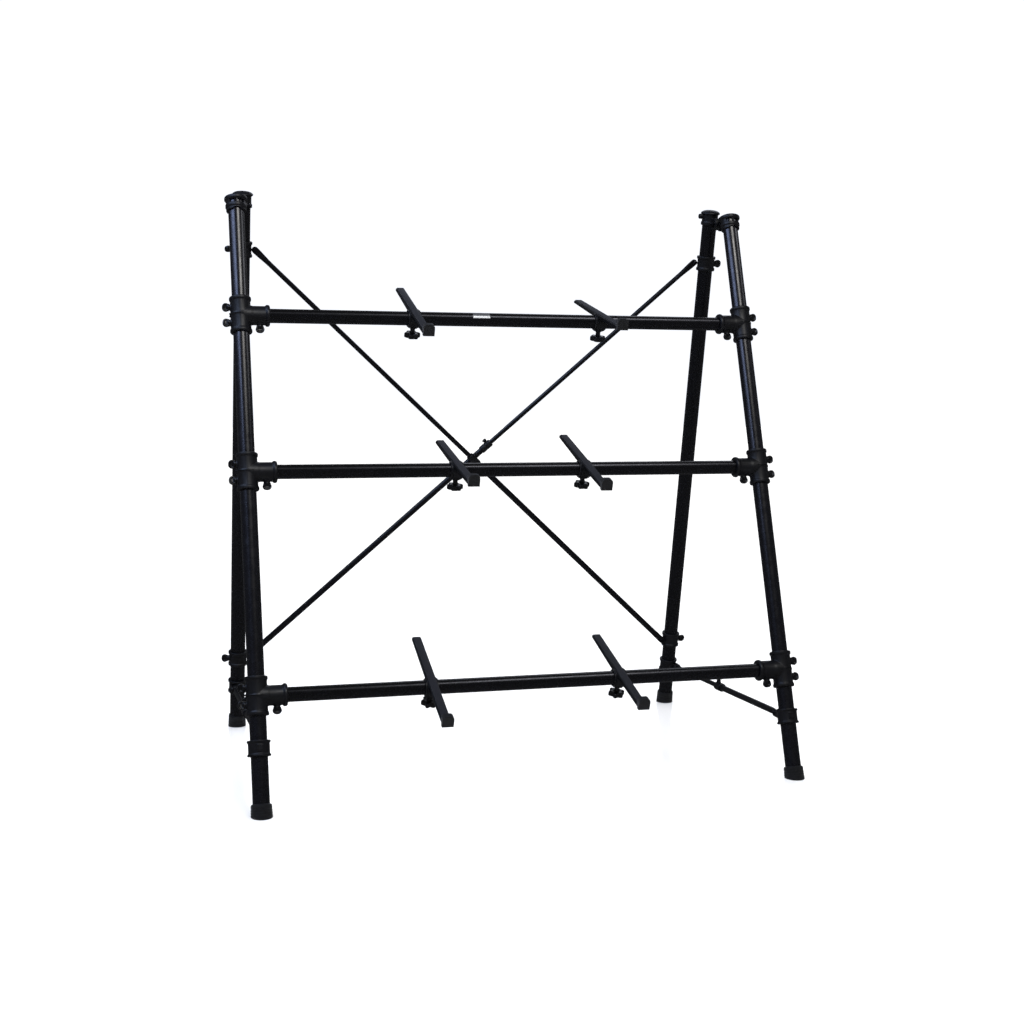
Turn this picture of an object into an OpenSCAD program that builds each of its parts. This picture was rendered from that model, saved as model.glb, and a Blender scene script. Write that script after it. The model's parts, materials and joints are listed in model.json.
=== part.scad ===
// Three-tier A-frame stand: two front legs carry three crossbars with cradle arms,
// two rear legs hinge on them at the top and are braced by a crossed pair of telescopic rods.

/* [Frame] */
// Distance between the two front legs, axis to axis
leg_spacing = 1140; // [1080:10:1200]
// Distance from front foot to rear foot, axis to axis on the floor
base_depth = 701; // [690:1:715]
// Lean of the front legs from vertical, in degrees
front_lean = 19.6; // [19.2:0.1:20]
// Lean of the rear legs from vertical, in degrees
rear_lean = 9.5; // [9.2:0.1:9.8]
// How far the rear legs stand inside the front legs
rear_inset = 21; // [20:0.5:22]
// Height of the front leg tube's top end
front_top_z = 1218; // [1216:1:1222]
// Height of the rear leg tube's top end
rear_top_z = 1236; // [1232:1:1240]
// Height of the top hinge axis
hinge_z = 1206; // [1204:1:1208]
// Place of the front foot along Y, which centres the whole stand
front_foot_y = -317; // [-330:1:-300]

/* [Tubes] */
// Leg tube outside diameter
leg_d = 34; // [33:0.5:35]
// Crossbar tube outside diameter
bar_d = 30; // [29:0.5:31]
// Wall of the leg and crossbar tubes
tube_wall = 1.6; // [1.2:0.1:2.5]
// Outer (thick) brace and spreader tube diameter
outer_rod_d = 14; // [13.5:0.5:15]
// Inner (thin) brace and spreader rod diameter
inner_rod_d = 11; // [10.5:0.5:11]

/* [Tiers] */
// Height of the top crossbar's axis
top_bar_z = 971; // [950:1:990]
// Height of the middle crossbar's axis
middle_bar_z = 652; // [630:1:670]
// Height of the bottom crossbar's axis
bottom_bar_z = 221; // [215:1:235]
// Places of the top arms along the crossbar, left then right
top_arm_x = [-201, 223];
// Places of the middle arms along the crossbar, left then right
middle_arm_x = [-131, 155];
// Places of the bottom arms along the crossbar, left then right
bottom_arm_x = [-217, 190];
// Upward tilt of the top arms' rear ends, in degrees
top_arm_tilt = [18.5, 11.5];
// Upward tilt of the middle arms' rear ends, in degrees
middle_arm_tilt = [12, 16.5];
// Upward tilt of the bottom arms' rear ends, in degrees
bottom_arm_tilt = [21.5, 16.5];

/* [Arms] */
// Length of an arm from its bar to its front end
arm_front = 156; // [150:1:165]
// Length of an arm from its bar to its rear end
arm_rear = 160; // [150:1:170]
// Width of an arm's channel
arm_w = 20; // [19:0.5:22]
// Width of the saddle that grips the bar
saddle_w = 22; // [20:1:24]
// Height of the stop at the front end, above the pad
stop_h = 16; // [12:1:18]

/* [Couplers] */
// Height of a coupler's sleeve on the leg
coupler_h = 78; // [70:1:84]
// Outside diameter of a coupler's sleeve
coupler_d = 42.5; // [42:0.5:44]
// Reach of a coupler from the leg's axis to its inner end
coupler_reach = 60; // [56:1:64]
// Height between the two leg-clamping thumb knobs
knob_pitch = 34; // [30:1:36]

/* [Braces] */
// Height of the upper brace clamps
brace_top_z = 1117; // [1105:1:1122]
// Height of the lower brace clamps
brace_low_z = 172; // [166:1:180]
// Height of the front spreader collars
spreader_front_z = 124; // [122:1:126]
// Height of the rear spreader clamps
spreader_rear_z = 103; // [101:1:105]

/* [Hidden] */
$fn = 64;
LEFT = 0;
RIGHT = 1;
TOP = 0;
MIDDLE = 1;
BOTTOM = 2;
fit = 0.05;
half_w = leg_spacing / 2;
rear_x = half_w - rear_inset;
bar_z = [top_bar_z, middle_bar_z, bottom_bar_z];
arm_x = [top_arm_x, middle_arm_x, bottom_arm_x];
arm_tilt = [top_arm_tilt, middle_arm_tilt, bottom_arm_tilt];
leg_r = leg_d / 2;
bar_r = bar_d / 2;

// Rubber feet: diameter, and how far they reach up the leg
front_foot_d = 43;
front_foot_reach = 24;
rear_foot_d = 41.5;
rear_foot_reach = 30;

// Top hinge: the lugs of the two caps lap each other at this X
lap_x = half_w - rear_inset / 2;
lug_t = 15;
front_lug_r = 16.5;
rear_lug_r = 13.5;
// Gap kept all round a lug inside the other cap
lug_room = 1;
hinge_bolt_d = 8;
front_hinge_y = front_y(hinge_z);
rear_hinge_y = rear_y(hinge_z);
hinge_y = (front_hinge_y + rear_hinge_y) / 2;

// Thumb knobs stand on bosses that end this far from their tube's axis
boss_out = 23;
knob_r = 7;
knob_half = 2;
knob_out = 7.5;

// Spreader: both pivots lie in the plane half way between front and rear leg
spreader_pivot_d = 5;
tongue_t = 6;
tongue_r = 5.5;
ear_t = 4;
ear_gap = tongue_t + 0.8;
front_pivot = [lap_x, front_y(spreader_front_z) + 31, spreader_front_z + 2];
rear_pivot = [lap_x, rear_y(spreader_rear_z) - 36, spreader_rear_z - 2];
spreader_run = rear_pivot - front_pivot;
spreader_l = norm(spreader_run);
spreader_tilt = atan2(spreader_run[2], spreader_run[1]);
spreader_outer_l = 0.53 * spreader_l;
spreader_overlap = 42;
eye_r = 10;
eye_hole_d = 13;

// Brace rods: drawn in the plane of the rear legs, one in front of it and one behind
brace_offset = 8.5;
brace_pin_d = 5;
brace_pin_reach = 27;
brace_pin_x = rear_x - brace_pin_reach;
brace_top_s = brace_top_z / cos(rear_lean);
brace_low_s = brace_low_z / cos(rear_lean);
brace_rise = brace_top_s - brace_low_s;
brace_l = norm([2 * brace_pin_x, brace_rise]);
brace_angle = atan2(brace_rise, 2 * brace_pin_x);
brace_collar_at = [0.50, 0.47];
brace_overlap = 60;
flat_l = 46;

// Arm section: liner round the bar, channel over the liner, pad on the channel
liner_r = bar_r + 1.8;
saddle_r = liner_r + fit;
saddle_out_r = saddle_r + 3.4;
plate_t = 2.2;
plate_z = saddle_r + 0.3;
pad_z = plate_z + plate_t;
pad_t = 2;
flange_t = 2;
flange_h = 8;
stop_t = 9;
stop_w = 24;
saddle_low = 19.5;
nut_z = 21.5;
stud_d = 8;
star_z = -43;
star_h = 12;

// ---- Places ----

function front_y(z) = front_foot_y + z * tan(front_lean);
function rear_y(z) = front_foot_y + base_depth - z * tan(rear_lean);

// Right-hand front leg at a height, local Z up the leg
module at_front_leg(z) {
    translate([half_w, front_y(z), z])
        rotate([-front_lean, 0, 0])
            children();
}

// Right-hand rear leg at a height, local Z up the leg
module at_rear_leg(z) {
    translate([rear_x, rear_y(z), z])
        rotate([rear_lean, 0, 0])
            children();
}

// Plane of the rear legs: local X across, local Z up the legs, local Y to the rear
module rear_plane() {
    translate([0, rear_y(0), 0])
        rotate([rear_lean, 0, 0])
            children();
}

module at_arm(tier, hand) {
    translate([arm_x[tier][hand], front_y(bar_z[tier]), bar_z[tier]])
        rotate([arm_tilt[tier][hand], 0, 0])
            children();
}

// Spreader: local Y runs from the front pivot to the rear pivot
module at_spreader() {
    translate(front_pivot)
        rotate([spreader_tilt, 0, 0])
            children();
}

module on_side(hand) {
    mirror([hand == LEFT ? 1 : 0, 0, 0])
        children();
}

module both_sides() {
    on_side(LEFT) children();
    on_side(RIGHT) children();
}

module above_floor() {
    intersection() {
        children();
        translate([-1000, -1000, 0])
            cube([2000, 2000, 2000]);
    }
}

// ---- Shared shapes ----

module rod_x(d, x0, x1) {
    translate([x0, 0, 0])
        rotate([0, 90, 0])
            cylinder(d = d, h = x1 - x0);
}

module rod_y(d, y0, y1) {
    translate([0, y0, 0])
        rotate([-90, 0, 0])
            cylinder(d = d, h = y1 - y0);
}

module tube(d, wall, h) {
    difference() {
        cylinder(d = d, h = h);
        translate([0, 0, -1])
            cylinder(d = d - 2 * wall, h = h + 2);
    }
}

// Turned sleeve with a raised rim at each end and chamfered corners
module rimmed_sleeve(d, rim_d, rim_h, h, edge = 1) {
    rotate_extrude()
        polygon([
            [0, -h / 2], [rim_d / 2 - edge, -h / 2], [rim_d / 2, -h / 2 + edge],
            [rim_d / 2, -h / 2 + rim_h - edge], [d / 2, -h / 2 + rim_h + edge / 2],
            [d / 2, h / 2 - rim_h - edge / 2], [rim_d / 2, h / 2 - rim_h + edge],
            [rim_d / 2, h / 2 - edge], [rim_d / 2 - edge, h / 2], [0, h / 2]
        ]);
}

// Wing knob pointing up Z: a round hub and an oval paddle with a dished face, on its stud
module thumb_knob(stud_l) {
    translate([0, 0, -stud_l])
        cylinder(d = 6, h = stud_l + 1);
    cylinder(d1 = 14, d2 = 12, h = 4);
    difference() {
        rotate([90, 0, 0])
            linear_extrude(height = 7, center = true)
                for (x = [-knob_half, knob_half])
                    translate([x, knob_out])
                        circle(r = knob_r);
        for (y = [-3.51, 2.51])
            translate([0, y, knob_out + 0.6])
                rotate([-90, 0, 0])
                    cylinder(r = 4.6, h = 1);
    }
    translate([-knob_half, -2.5, 2.5])
        cube([2 * knob_half, 5, knob_out + 2]);
}

// Ear pair or single ear, from a leg's axis out to a pivot in the YZ plane
module ear(t, reach, r) {
    translate([-t / 2, min(reach, 0), -r])
        cube([t, abs(reach), 2 * r]);
    translate([0, reach, 0])
        rod_x(2 * r, -t / 2, t / 2);
}

module clevis(reach, r) {
    for (s = [-1, 1])
        translate([s * (ear_gap + ear_t) / 2, 0, 0])
            ear(ear_t, reach, r);
}

// ---- Front frame ----

module front_leg(hand) {
    color([0.05, 0.05, 0.06])
        on_side(hand)
            at_front_leg(0)
                translate([0, 0, 10])
                    tube(leg_d, tube_wall, front_top_z / cos(front_lean) - 10);
}

// Rubber ferrule: slightly flared, cut level where it meets the floor
module ferrule(d, reach) {
    difference() {
        translate([0, 0, -20])
            union() {
                cylinder(d = d, h = 26);
                translate([0, 0, 26])
                    cylinder(d1 = d, d2 = d - 1.5, h = reach - 7.5);
                translate([0, 0, reach + 18.5])
                    cylinder(d1 = d - 1.5, d2 = d - 4.5, h = 1.5);
            }
        translate([0, 0, 10])
            cylinder(d = leg_d, h = reach);
    }
}

module front_feet() {
    color([0.08, 0.08, 0.08])
        both_sides()
            above_floor()
                at_front_leg(0)
                    ferrule(front_foot_d, front_foot_reach);
}

module front_hinge_caps() {
    tube_top = (front_top_z - hinge_z) / cos(front_lean);
    color([0.09, 0.09, 0.10])
        both_sides()
            difference() {
                union() {
                    at_front_leg(hinge_z) {
                        translate([0, 0, -17])
                            cylinder(d = 42, h = tube_top + 19);
                        translate([0, 0, -9])
                            cylinder(d = 45, h = 7);
                        translate([0, 0, 7])
                            cylinder(d1 = 47, d2 = 49, h = 1.5);
                        translate([0, 0, 8.5])
                            cylinder(d = 49, h = tube_top - 7);
                        translate([0, 0, tube_top + 1.5])
                            cylinder(d1 = 49, d2 = 40, h = 3);
                    }
                    translate([lap_x + 0.2 + lug_t / 2, front_hinge_y, hinge_z])
                        ear(lug_t, hinge_y - front_hinge_y, front_lug_r);
                }
                at_front_leg(hinge_z) {
                    translate([0, 0, -30])
                        cylinder(d = leg_d, h = tube_top + 30);
                    // Two windows either side of a post, between the rims
                    for (s = [-1, 1])
                        intersection() {
                            difference() {
                                translate([0, 0, -2])
                                    cylinder(r = 30, h = 9);
                                translate([0, 0, -3])
                                    cylinder(r = 18.8, h = 11);
                            }
                            translate([s * 9, -20, 2.5])
                                cube([14, 20, 9], center = true);
                        }
                }
                translate([0, hinge_y, hinge_z]) {
                    rod_x(hinge_bolt_d, lap_x - 5, half_w + 40);
                    // Room for the rear cap's lug at every angle
                    rod_x(2 * (rear_lug_r + lug_room), lap_x - lug_t - 3, lap_x + 0.2);
                }
            }
}

// Bolts that the front frame carries: the top hinge bolts and the spreaders' front pins
module pivot_bolts() {
    bolt_x = lap_x + 0.2 + lug_t;
    nut_x = lap_x - 0.2 - lug_t - 0.4;
    color([0.30, 0.30, 0.32])
        both_sides() {
            translate([0, hinge_y, hinge_z]) {
                rod_x(hinge_bolt_d, nut_x - 9, bolt_x + 2);
                translate([bolt_x, 0, 0])
                    rotate([0, 90, 0])
                        cylinder(d1 = 17, d2 = 12, h = 6);
                translate([nut_x - 6.5, 0, 0])
                    rotate([0, 90, 0])
                        cylinder(d = 15, h = 6.5, $fn = 6);
            }
            translate(front_pivot)
                pivot_pin();
        }
}

// Pin across a clevis with a low head at each end
module pivot_pin() {
    reach = ear_gap / 2 + ear_t;
    rod_x(spreader_pivot_d, -reach - 1, reach + 1);
    for (s = [-1, 1])
        mirror([s < 0 ? 1 : 0, 0, 0])
            translate([reach, 0, 0])
                rotate([0, 90, 0])
                    cylinder(d1 = 9, d2 = 6, h = 2.5);
}

module spreader_front_collars() {
    color([0.09, 0.09, 0.10])
        both_sides()
            difference() {
                union() {
                    at_front_leg(spreader_front_z) {
                        rimmed_sleeve(43, 47, 5, 31, 0.8);
                        translate([-8, -25.5, -7])
                            cube([16, 12, 14]);
                    }
                    translate([lap_x, front_y(spreader_front_z), front_pivot[2]])
                        clevis(front_pivot[1] - front_y(spreader_front_z), 8);
                }
                at_front_leg(spreader_front_z) {
                    translate([0, 0, -40])
                        cylinder(d = leg_d, h = 80);
                    for (z = [-4.5, 2.5])
                        translate([-10, -27, z])
                            cube([20, 5, 2]);
                }
                translate(front_pivot)
                    rod_x(spreader_pivot_d, -20, 20);
            }
}

// ---- Rear frame ----

module rear_leg(hand) {
    color([0.05, 0.05, 0.06])
        on_side(hand)
            at_rear_leg(0)
                translate([0, 0, 10])
                    tube(leg_d, tube_wall, rear_top_z / cos(rear_lean) - 10);
}

module rear_feet() {
    color([0.08, 0.08, 0.08])
        both_sides()
            above_floor()
                at_rear_leg(0)
                    ferrule(rear_foot_d, rear_foot_reach);
}

module rear_hinge_caps() {
    tube_top = (rear_top_z - hinge_z) / cos(rear_lean);
    color([0.09, 0.09, 0.10])
        for (side = [0, 1])
            mirror([side, 0, 0])
                difference() {
                    union() {
                        at_rear_leg(hinge_z) {
                            cylinder(d = 38, h = tube_top + 1);
                            cylinder(d = 41, h = 8);
                            translate([0, 0, tube_top - 2.5])
                                cylinder(d1 = 38, d2 = 45, h = 2);
                            translate([0, 0, tube_top - 0.5])
                                cylinder(d = 45, h = 3.5);
                            translate([0, 0, tube_top + 3])
                                cylinder(d1 = 45, d2 = 38, h = 2);
                            // The nub is on the same hand of both caps
                            mirror([side, 0, 0])
                                translate([0, 0, 20]) {
                                    rod_x(8, -28.5, -13.5);
                                    rod_x(12, -26.5, -16.5);
                                }
                        }
                        translate([lap_x - 0.2 - lug_t / 2, rear_hinge_y, hinge_z])
                            ear(lug_t, hinge_y - rear_hinge_y, rear_lug_r);
                    }
                    at_rear_leg(hinge_z)
                        translate([0, 0, -30])
                            cylinder(d = leg_d, h = tube_top + 30);
                    translate([0, hinge_y, hinge_z]) {
                        rod_x(hinge_bolt_d + 2 * fit, lap_x - 40, lap_x + 5);
                        // Room for the front cap's lug at every angle
                        rod_x(2 * (front_lug_r + lug_room), lap_x - 0.2, lap_x + lug_t + 3);
                    }
                }
}

// Clamp on the right-hand rear leg, with its ear for one rod in front of or behind the plane
module brace_clamp(s, rod_side) {
    difference() {
        union() {
            translate([rear_x, 0, s])
                rimmed_sleeve(40, 44, 7, 34, 0.8);
            translate([brace_pin_x - 8, min(0, rod_side * 5.5), s - 8])
                cube([brace_pin_reach, 5.5, 16]);
            translate([rear_x + 17, 0, s])
                rod_x(13, 0, boss_out - 17);
        }
        translate([rear_x, 0, s - 30])
            cylinder(d = leg_d, h = 60);
        translate([brace_pin_x, 0, s])
            rod_y(brace_pin_d, -20, 20);
        translate([rear_x + 15, 0, s])
            rod_x(6, 0, 12);
    }
}

module brace_clamps() {
    color([0.09, 0.09, 0.10])
        rear_plane() {
            on_side(LEFT) brace_clamp(brace_top_s, -1);
            on_side(RIGHT) brace_clamp(brace_low_s, -1);
            on_side(RIGHT) brace_clamp(brace_top_s, 1);
            on_side(LEFT) brace_clamp(brace_low_s, 1);
        }
}

module brace_clamp_knobs() {
    color([0.07, 0.07, 0.08])
        both_sides()
            rear_plane()
                for (s = [brace_top_s, brace_low_s])
                    translate([rear_x + boss_out, 0, s])
                        rotate([0, 90, 0])
                            thumb_knob(boss_out - leg_r - 0.4);
}

// Rod A runs from the upper left clamp to the lower right one, rod B is its mirror behind it
module at_brace(rod) {
    rear_plane()
        mirror([rod, 0, 0])
            translate([-brace_pin_x, rod == 0 ? -brace_offset : brace_offset, brace_top_s])
                rotate([0, brace_angle, 0])
                    children();
}

// Flattened rod end: a plate that widens to the pin and blends into the round rod
module flat_end(d) {
    rotate([90, 0, 0])
        linear_extrude(height = 5, center = true)
            union() {
                circle(r = 7.5);
                polygon([[0, -7.5], [0, 7.5], [flat_l * 0.6, 6.5], [flat_l, d / 2 - 0.5],
                    [flat_l, 0.5 - d / 2], [flat_l * 0.6, -6.5]]);
            }
    translate([flat_l * 0.72, 0, 0])
        rotate([0, 90, 0])
            cylinder(d1 = 5, d2 = d, h = flat_l * 0.28);
}

module brace_inner(rod) {
    collar_x = brace_collar_at[rod] * brace_l;
    color([0.05, 0.05, 0.06])
        at_brace(rod)
            difference() {
                union() {
                    rod_x(inner_rod_d, flat_l - 1, collar_x + brace_overlap);
                    flat_end(inner_rod_d);
                }
                rod_y(brace_pin_d, -10, 10);
            }
}

module brace_outer(rod) {
    collar_x = brace_collar_at[rod] * brace_l;
    color([0.05, 0.05, 0.06])
        at_brace(rod)
            difference() {
                union() {
                    rod_x(outer_rod_d, collar_x, brace_l - flat_l + 1);
                    translate([brace_l, 0, 0])
                        mirror([1, 0, 0])
                            flat_end(outer_rod_d);
                }
                rod_x(inner_rod_d + 2 * fit, collar_x - 1, brace_l - flat_l - 20);
                translate([brace_l, 0, 0])
                    rod_y(brace_pin_d, -10, 10);
            }
}

// Lock collars of both rods, each with its set-screw
module brace_collars() {
    color([0.09, 0.09, 0.10])
        for (rod = [0, 1])
            at_brace(rod)
                translate([brace_collar_at[rod] * brace_l, 0, 0])
                    difference() {
                        union() {
                            rod_x(18, -14, 12);
                            rod_x(16.5, -16, 14);
                            translate([-7, 0, 0])
                                cylinder(d = 8, h = 14);
                            translate([-7, 0, 13])
                                cylinder(d = 11, h = 3);
                        }
                        rod_x(inner_rod_d + 2 * fit, -20, 20);
                        rod_x(outer_rod_d, 0, 20);
                    }
}

module spreader_rear_clamps() {
    color([0.09, 0.09, 0.10])
        both_sides()
            difference() {
                union() {
                    at_rear_leg(spreader_rear_z)
                        rimmed_sleeve(39.5, 44, 6, 31, 0.8);
                    translate([lap_x, rear_y(spreader_rear_z), rear_pivot[2]])
                        clevis(rear_pivot[1] - rear_y(spreader_rear_z), 7);
                }
                at_rear_leg(spreader_rear_z)
                    translate([0, 0, -40])
                        cylinder(d = leg_d, h = 80);
                translate(rear_pivot)
                    rod_x(spreader_pivot_d, -20, 20);
            }
}

// Pins that the rear frame carries: the brace rivets and the spreaders' rear pins
module rear_pivot_pins() {
    color([0.30, 0.30, 0.32]) {
        both_sides()
            translate(rear_pivot)
                pivot_pin();
        for (rod = [0, 1], x = [0, brace_l])
            at_brace(rod)
                translate([x, 0, 0])
                    mirror([0, rod, 0])
                        rivet();
    }
}

module rivet() {
    rod_y(brace_pin_d, -3.5, 9);
    translate([0, -4.5, 0])
        rod_y(9, 0, 2);
    rod_y(9, 9, 10.5);
}

// ---- Spreaders ----

module spreader_outer(hand) {
    color([0.05, 0.05, 0.06])
        on_side(hand)
            at_spreader()
                difference() {
                    union() {
                        rod_y(outer_rod_d, 18, spreader_outer_l);
                        ear(tongue_t, 20, tongue_r);
                        rod_x(2 * tongue_r, -tongue_t / 2, tongue_t / 2);
                    }
                    rod_y(inner_rod_d + 2 * fit, 32, spreader_outer_l + 1);
                    rod_x(spreader_pivot_d + 2 * fit, -10, 10);
                }
}

module spreader_inner(hand) {
    color([0.05, 0.05, 0.06])
        on_side(hand)
            at_spreader()
                difference() {
                    union() {
                        rod_y(inner_rod_d, spreader_outer_l - spreader_overlap, spreader_l - 17);
                        translate([0, spreader_l, 0]) {
                            ear(tongue_t, -20, 5);
                            rod_x(2 * eye_r, -tongue_t / 2, tongue_t / 2);
                        }
                    }
                    translate([0, spreader_l, 0])
                        rod_x(eye_hole_d, -10, 10);
                }
}

module spreader_lock(hand) {
    color([0.09, 0.09, 0.10])
        on_side(hand)
            at_spreader()
                translate([0, spreader_outer_l, 0])
                    difference() {
                        union() {
                            rod_y(20, -12, 14);
                            rod_y(18, -14, 16);
                            translate([0, 7, 0])
                                cylinder(d = 10, h = 15);
                        }
                        rod_y(outer_rod_d, -20, 0);
                        rod_y(inner_rod_d + 0.6, -1, 20);
                        translate([0, 7, 0])
                            cylinder(d = 6 + 2 * fit, h = 20);
                    }
}

module spreader_screw(hand) {
    color([0.07, 0.07, 0.08])
        on_side(hand)
            at_spreader()
                translate([0, spreader_outer_l + 7, 16.3])
                    thumb_knob(10.3);
}

// ---- Tiers ----

module crossbar(tier) {
    bar_l = leg_spacing - 2 * (leg_r + 3.5);
    color([0.05, 0.05, 0.06])
        translate([-bar_l / 2, front_y(bar_z[tier]), bar_z[tier]])
            rotate([0, 90, 0])
                tube(bar_d, tube_wall, bar_l);
}

// Moulded T: one sleeve on the leg, one on the bar, with bosses for three thumb knobs
module coupler() {
    sleeve_l = coupler_reach;
    difference() {
        union() {
            rimmed_sleeve(coupler_d, 46, 8, coupler_h, 1.2);
            translate([0, 0, -1.5])
                cylinder(d = coupler_d + 2, h = 3);
            translate([-sleeve_l / 2, 0, 0])
                rotate([0, 90, 0])
                    cylinder(d = 40.5, h = sleeve_l, center = true);
            translate([-sleeve_l, 0, 0])
                rotate([0, 90, 0])
                    cylinder(d1 = 44, d2 = 46, h = 1.5);
            translate([-sleeve_l + 1.5, 0, 0])
                rod_x(46, 0, 6);
            translate([-sleeve_l + 7.5, 0, 0])
                rotate([0, 90, 0])
                    cylinder(d1 = 46, d2 = 40.5, h = 1.5);
            for (z = [-1, 1])
                translate([19, 0, z * knob_pitch / 2])
                    rod_x(14, 0, boss_out - 19);
            for (z = [-2.6, 2.6])
                translate([0, 0, z])
                    rod_x(4, 0, coupler_d / 2 + 2.6);
            translate([-39, 0, -boss_out])
                cylinder(d = 14, h = 8);
        }
        cylinder(d = leg_d + 2 * fit, h = 200, center = true);
        translate([-sleeve_l - 5, 0, 0])
            rod_x(bar_d, 0, sleeve_l - leg_r + 1.5);
        for (z = [-1, 1])
            translate([leg_r - 2, 0, z * knob_pitch / 2])
                rod_x(6, 0, 30);
        translate([-39, 0, -40])
            cylinder(d = 6, h = 30);
    }
}

module couplers(tier) {
    color([0.09, 0.09, 0.10])
        both_sides()
            at_front_leg(bar_z[tier])
                coupler();
}

module coupler_knobs(tier) {
    color([0.07, 0.07, 0.08])
        both_sides()
            at_front_leg(bar_z[tier]) {
                for (z = [-1, 1])
                    translate([boss_out, 0, z * knob_pitch / 2])
                        rotate([0, 90, 0])
                            thumb_knob(boss_out - leg_r - 0.4);
                translate([-39, 0, -boss_out])
                    rotate([180, 0, 0])
                        thumb_knob(boss_out - bar_r - 0.4);
            }
}

// ---- Arms ----

// Split nylon bush that grips the bar, with a flange on each side of the arm
module liner(tier, hand) {
    color([0.12, 0.12, 0.12])
        translate([arm_x[tier][hand], front_y(bar_z[tier]), bar_z[tier]])
            difference() {
                union() {
                    rod_x(2 * liner_r, -saddle_w / 2 - 2, saddle_w / 2 + 2);
                    for (s = [-1, 1])
                        translate([s * (saddle_w / 2 + 1.4), 0, 0])
                            rod_x(2 * liner_r + 3, -0.9, 0.9);
                }
                rod_x(bar_d + 2 * fit, -30, 30);
                translate([-30, -1, -bar_r - 5])
                    cube([60, 2, 5]);
            }
}

// Side outline of the channel: a little deeper at the bar than at both ends
module arm_outline(top, drop) {
    polygon([
        [stop_t - arm_front, top], [arm_rear, top], [arm_rear, top - 5 + drop],
        [30, top - flange_h + drop], [-30, top - flange_h + drop], [stop_t - arm_front, top - 6 + drop]
    ]);
}

// Saddle round the liner: a hoop with a chamfered block and a round boss for the stud below
module saddle() {
    low_w = saddle_w / 2 - 4.5;
    intersection() {
        union() {
            rod_x(2 * saddle_out_r, -saddle_w / 2, saddle_w / 2);
            translate([0, 11, 0])
                rotate([90, 0, 0])
                    linear_extrude(height = 22)
                        polygon([
                            [-saddle_w / 2, -8], [-saddle_w / 2, 4.5 - saddle_low],
                            [-low_w, -saddle_low], [low_w, -saddle_low],
                            [saddle_w / 2, 4.5 - saddle_low], [saddle_w / 2, -8]
                        ]);
            translate([0, 0, -nut_z])
                cylinder(d = 16, h = 5);
        }
        translate([-50, -50, pad_z - 100])
            cube([100, 100, 100]);
    }
}

module arm(tier, hand) {
    color([0.06, 0.06, 0.07])
        at_arm(tier, hand)
            difference() {
                union() {
                    rotate([90, 0, 90])
                        linear_extrude(height = arm_w, center = true)
                            arm_outline(pad_z, 0);
                    saddle();
                }
                difference() {
                    rotate([90, 0, 90])
                        linear_extrude(height = arm_w - 2 * flange_t, center = true)
                            translate([0, -plate_t])
                                arm_outline(pad_z, -0.5);
                    saddle();
                }
                rod_x(2 * saddle_r, -30, 30);
                translate([0, 0, -40])
                    cylinder(d = stud_d + 2 * fit, h = 40);
                for (s = [-1, 1])
                    translate([s * arm_w / 2, arm_rear, 0])
                        rotate([0, 0, 45])
                            cube([4.2, 4.2, 80], center = true);
            }
}

// Rubber strip on the channel, with the rounded stop moulded on at the front end
module pad(tier, hand) {
    color([0.13, 0.13, 0.14])
        at_arm(tier, hand) {
            difference() {
                translate([-arm_w / 2 + 0.2, stop_t - arm_front, pad_z])
                    cube([arm_w - 0.4, arm_front + arm_rear - stop_t - 1, pad_t]);
                for (s = [-1, 1])
                    translate([s * arm_w / 2, arm_rear, 0])
                        rotate([0, 0, 45])
                            cube([5.2, 5.2, 80], center = true);
            }
            stop();
        }
}

module stop() {
    low = pad_z - 7;
    high = pad_z + pad_t + stop_h;
    translate([0, stop_t - arm_front, 0])
        rotate([90, 0, 0])
            linear_extrude(height = stop_t)
                stop_outline(low, high);
    translate([0, stop_t - arm_front + 4, 0])
        rotate([90, 0, 0])
            linear_extrude(height = 6)
                difference() {
                    stop_outline(low, high);
                    translate([-50, -50])
                        square([100, 50 + pad_z]);
                }
}

// Front view of the stop: straight sides and a domed top
module stop_outline(low, high) {
    r = 8;
    for (s = [-1, 1])
        translate([s * (stop_w / 2 - r), high - r])
            circle(r = r);
    translate([-stop_w / 2, low])
        square([stop_w, high - r - low]);
    translate([r - stop_w / 2, low])
        square([stop_w - 2 * r, high - low]);
}

// Six-lobed knob on the clamping stud, square to the arm
module star_knob(tier, hand) {
    color([0.07, 0.07, 0.08])
        at_arm(tier, hand) {
            translate([0, 0, star_z])
                linear_extrude(height = star_h)
                    union() {
                        circle(r = 12);
                        for (k = [0 : 5])
                            rotate([0, 0, 60 * k])
                                translate([12.6, 0])
                                    circle(r = 5.2);
                    }
            translate([0, 0, star_z - 2])
                cylinder(d1 = 16, d2 = 20, h = 2.1);
            translate([0, 0, star_z + star_h - 1])
                cylinder(d = 10.5, h = 0.7 - nut_z - star_z - star_h);
            translate([0, 0, star_z + star_h - 7])
                cylinder(d = stud_d, h = 7 - star_z - star_h - liner_r - 0.3);
        }
}

// ---- Drawing ----

front_leg(LEFT);  // front_leg_left
front_leg(RIGHT);  // front_leg_right
front_feet();
front_hinge_caps();
pivot_bolts();
spreader_front_collars();
rear_leg(LEFT);  // rear_leg_left
rear_leg(RIGHT);  // rear_leg_right
rear_feet();
rear_hinge_caps();
brace_clamps();
brace_clamp_knobs();
brace_outer(0);  // brace_outer_a
brace_inner(0);  // brace_inner_a
brace_outer(1);  // brace_outer_b
brace_inner(1);  // brace_inner_b
brace_collars();
spreader_rear_clamps();
rear_pivot_pins();
spreader_outer(LEFT);  // spreader_outer_left
spreader_inner(LEFT);  // spreader_inner_left
spreader_lock(LEFT);  // spreader_lock_left
spreader_screw(LEFT);  // spreader_screw_left
spreader_outer(RIGHT);  // spreader_outer_right
spreader_inner(RIGHT);  // spreader_inner_right
spreader_lock(RIGHT);  // spreader_lock_right
spreader_screw(RIGHT);  // spreader_screw_right
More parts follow.
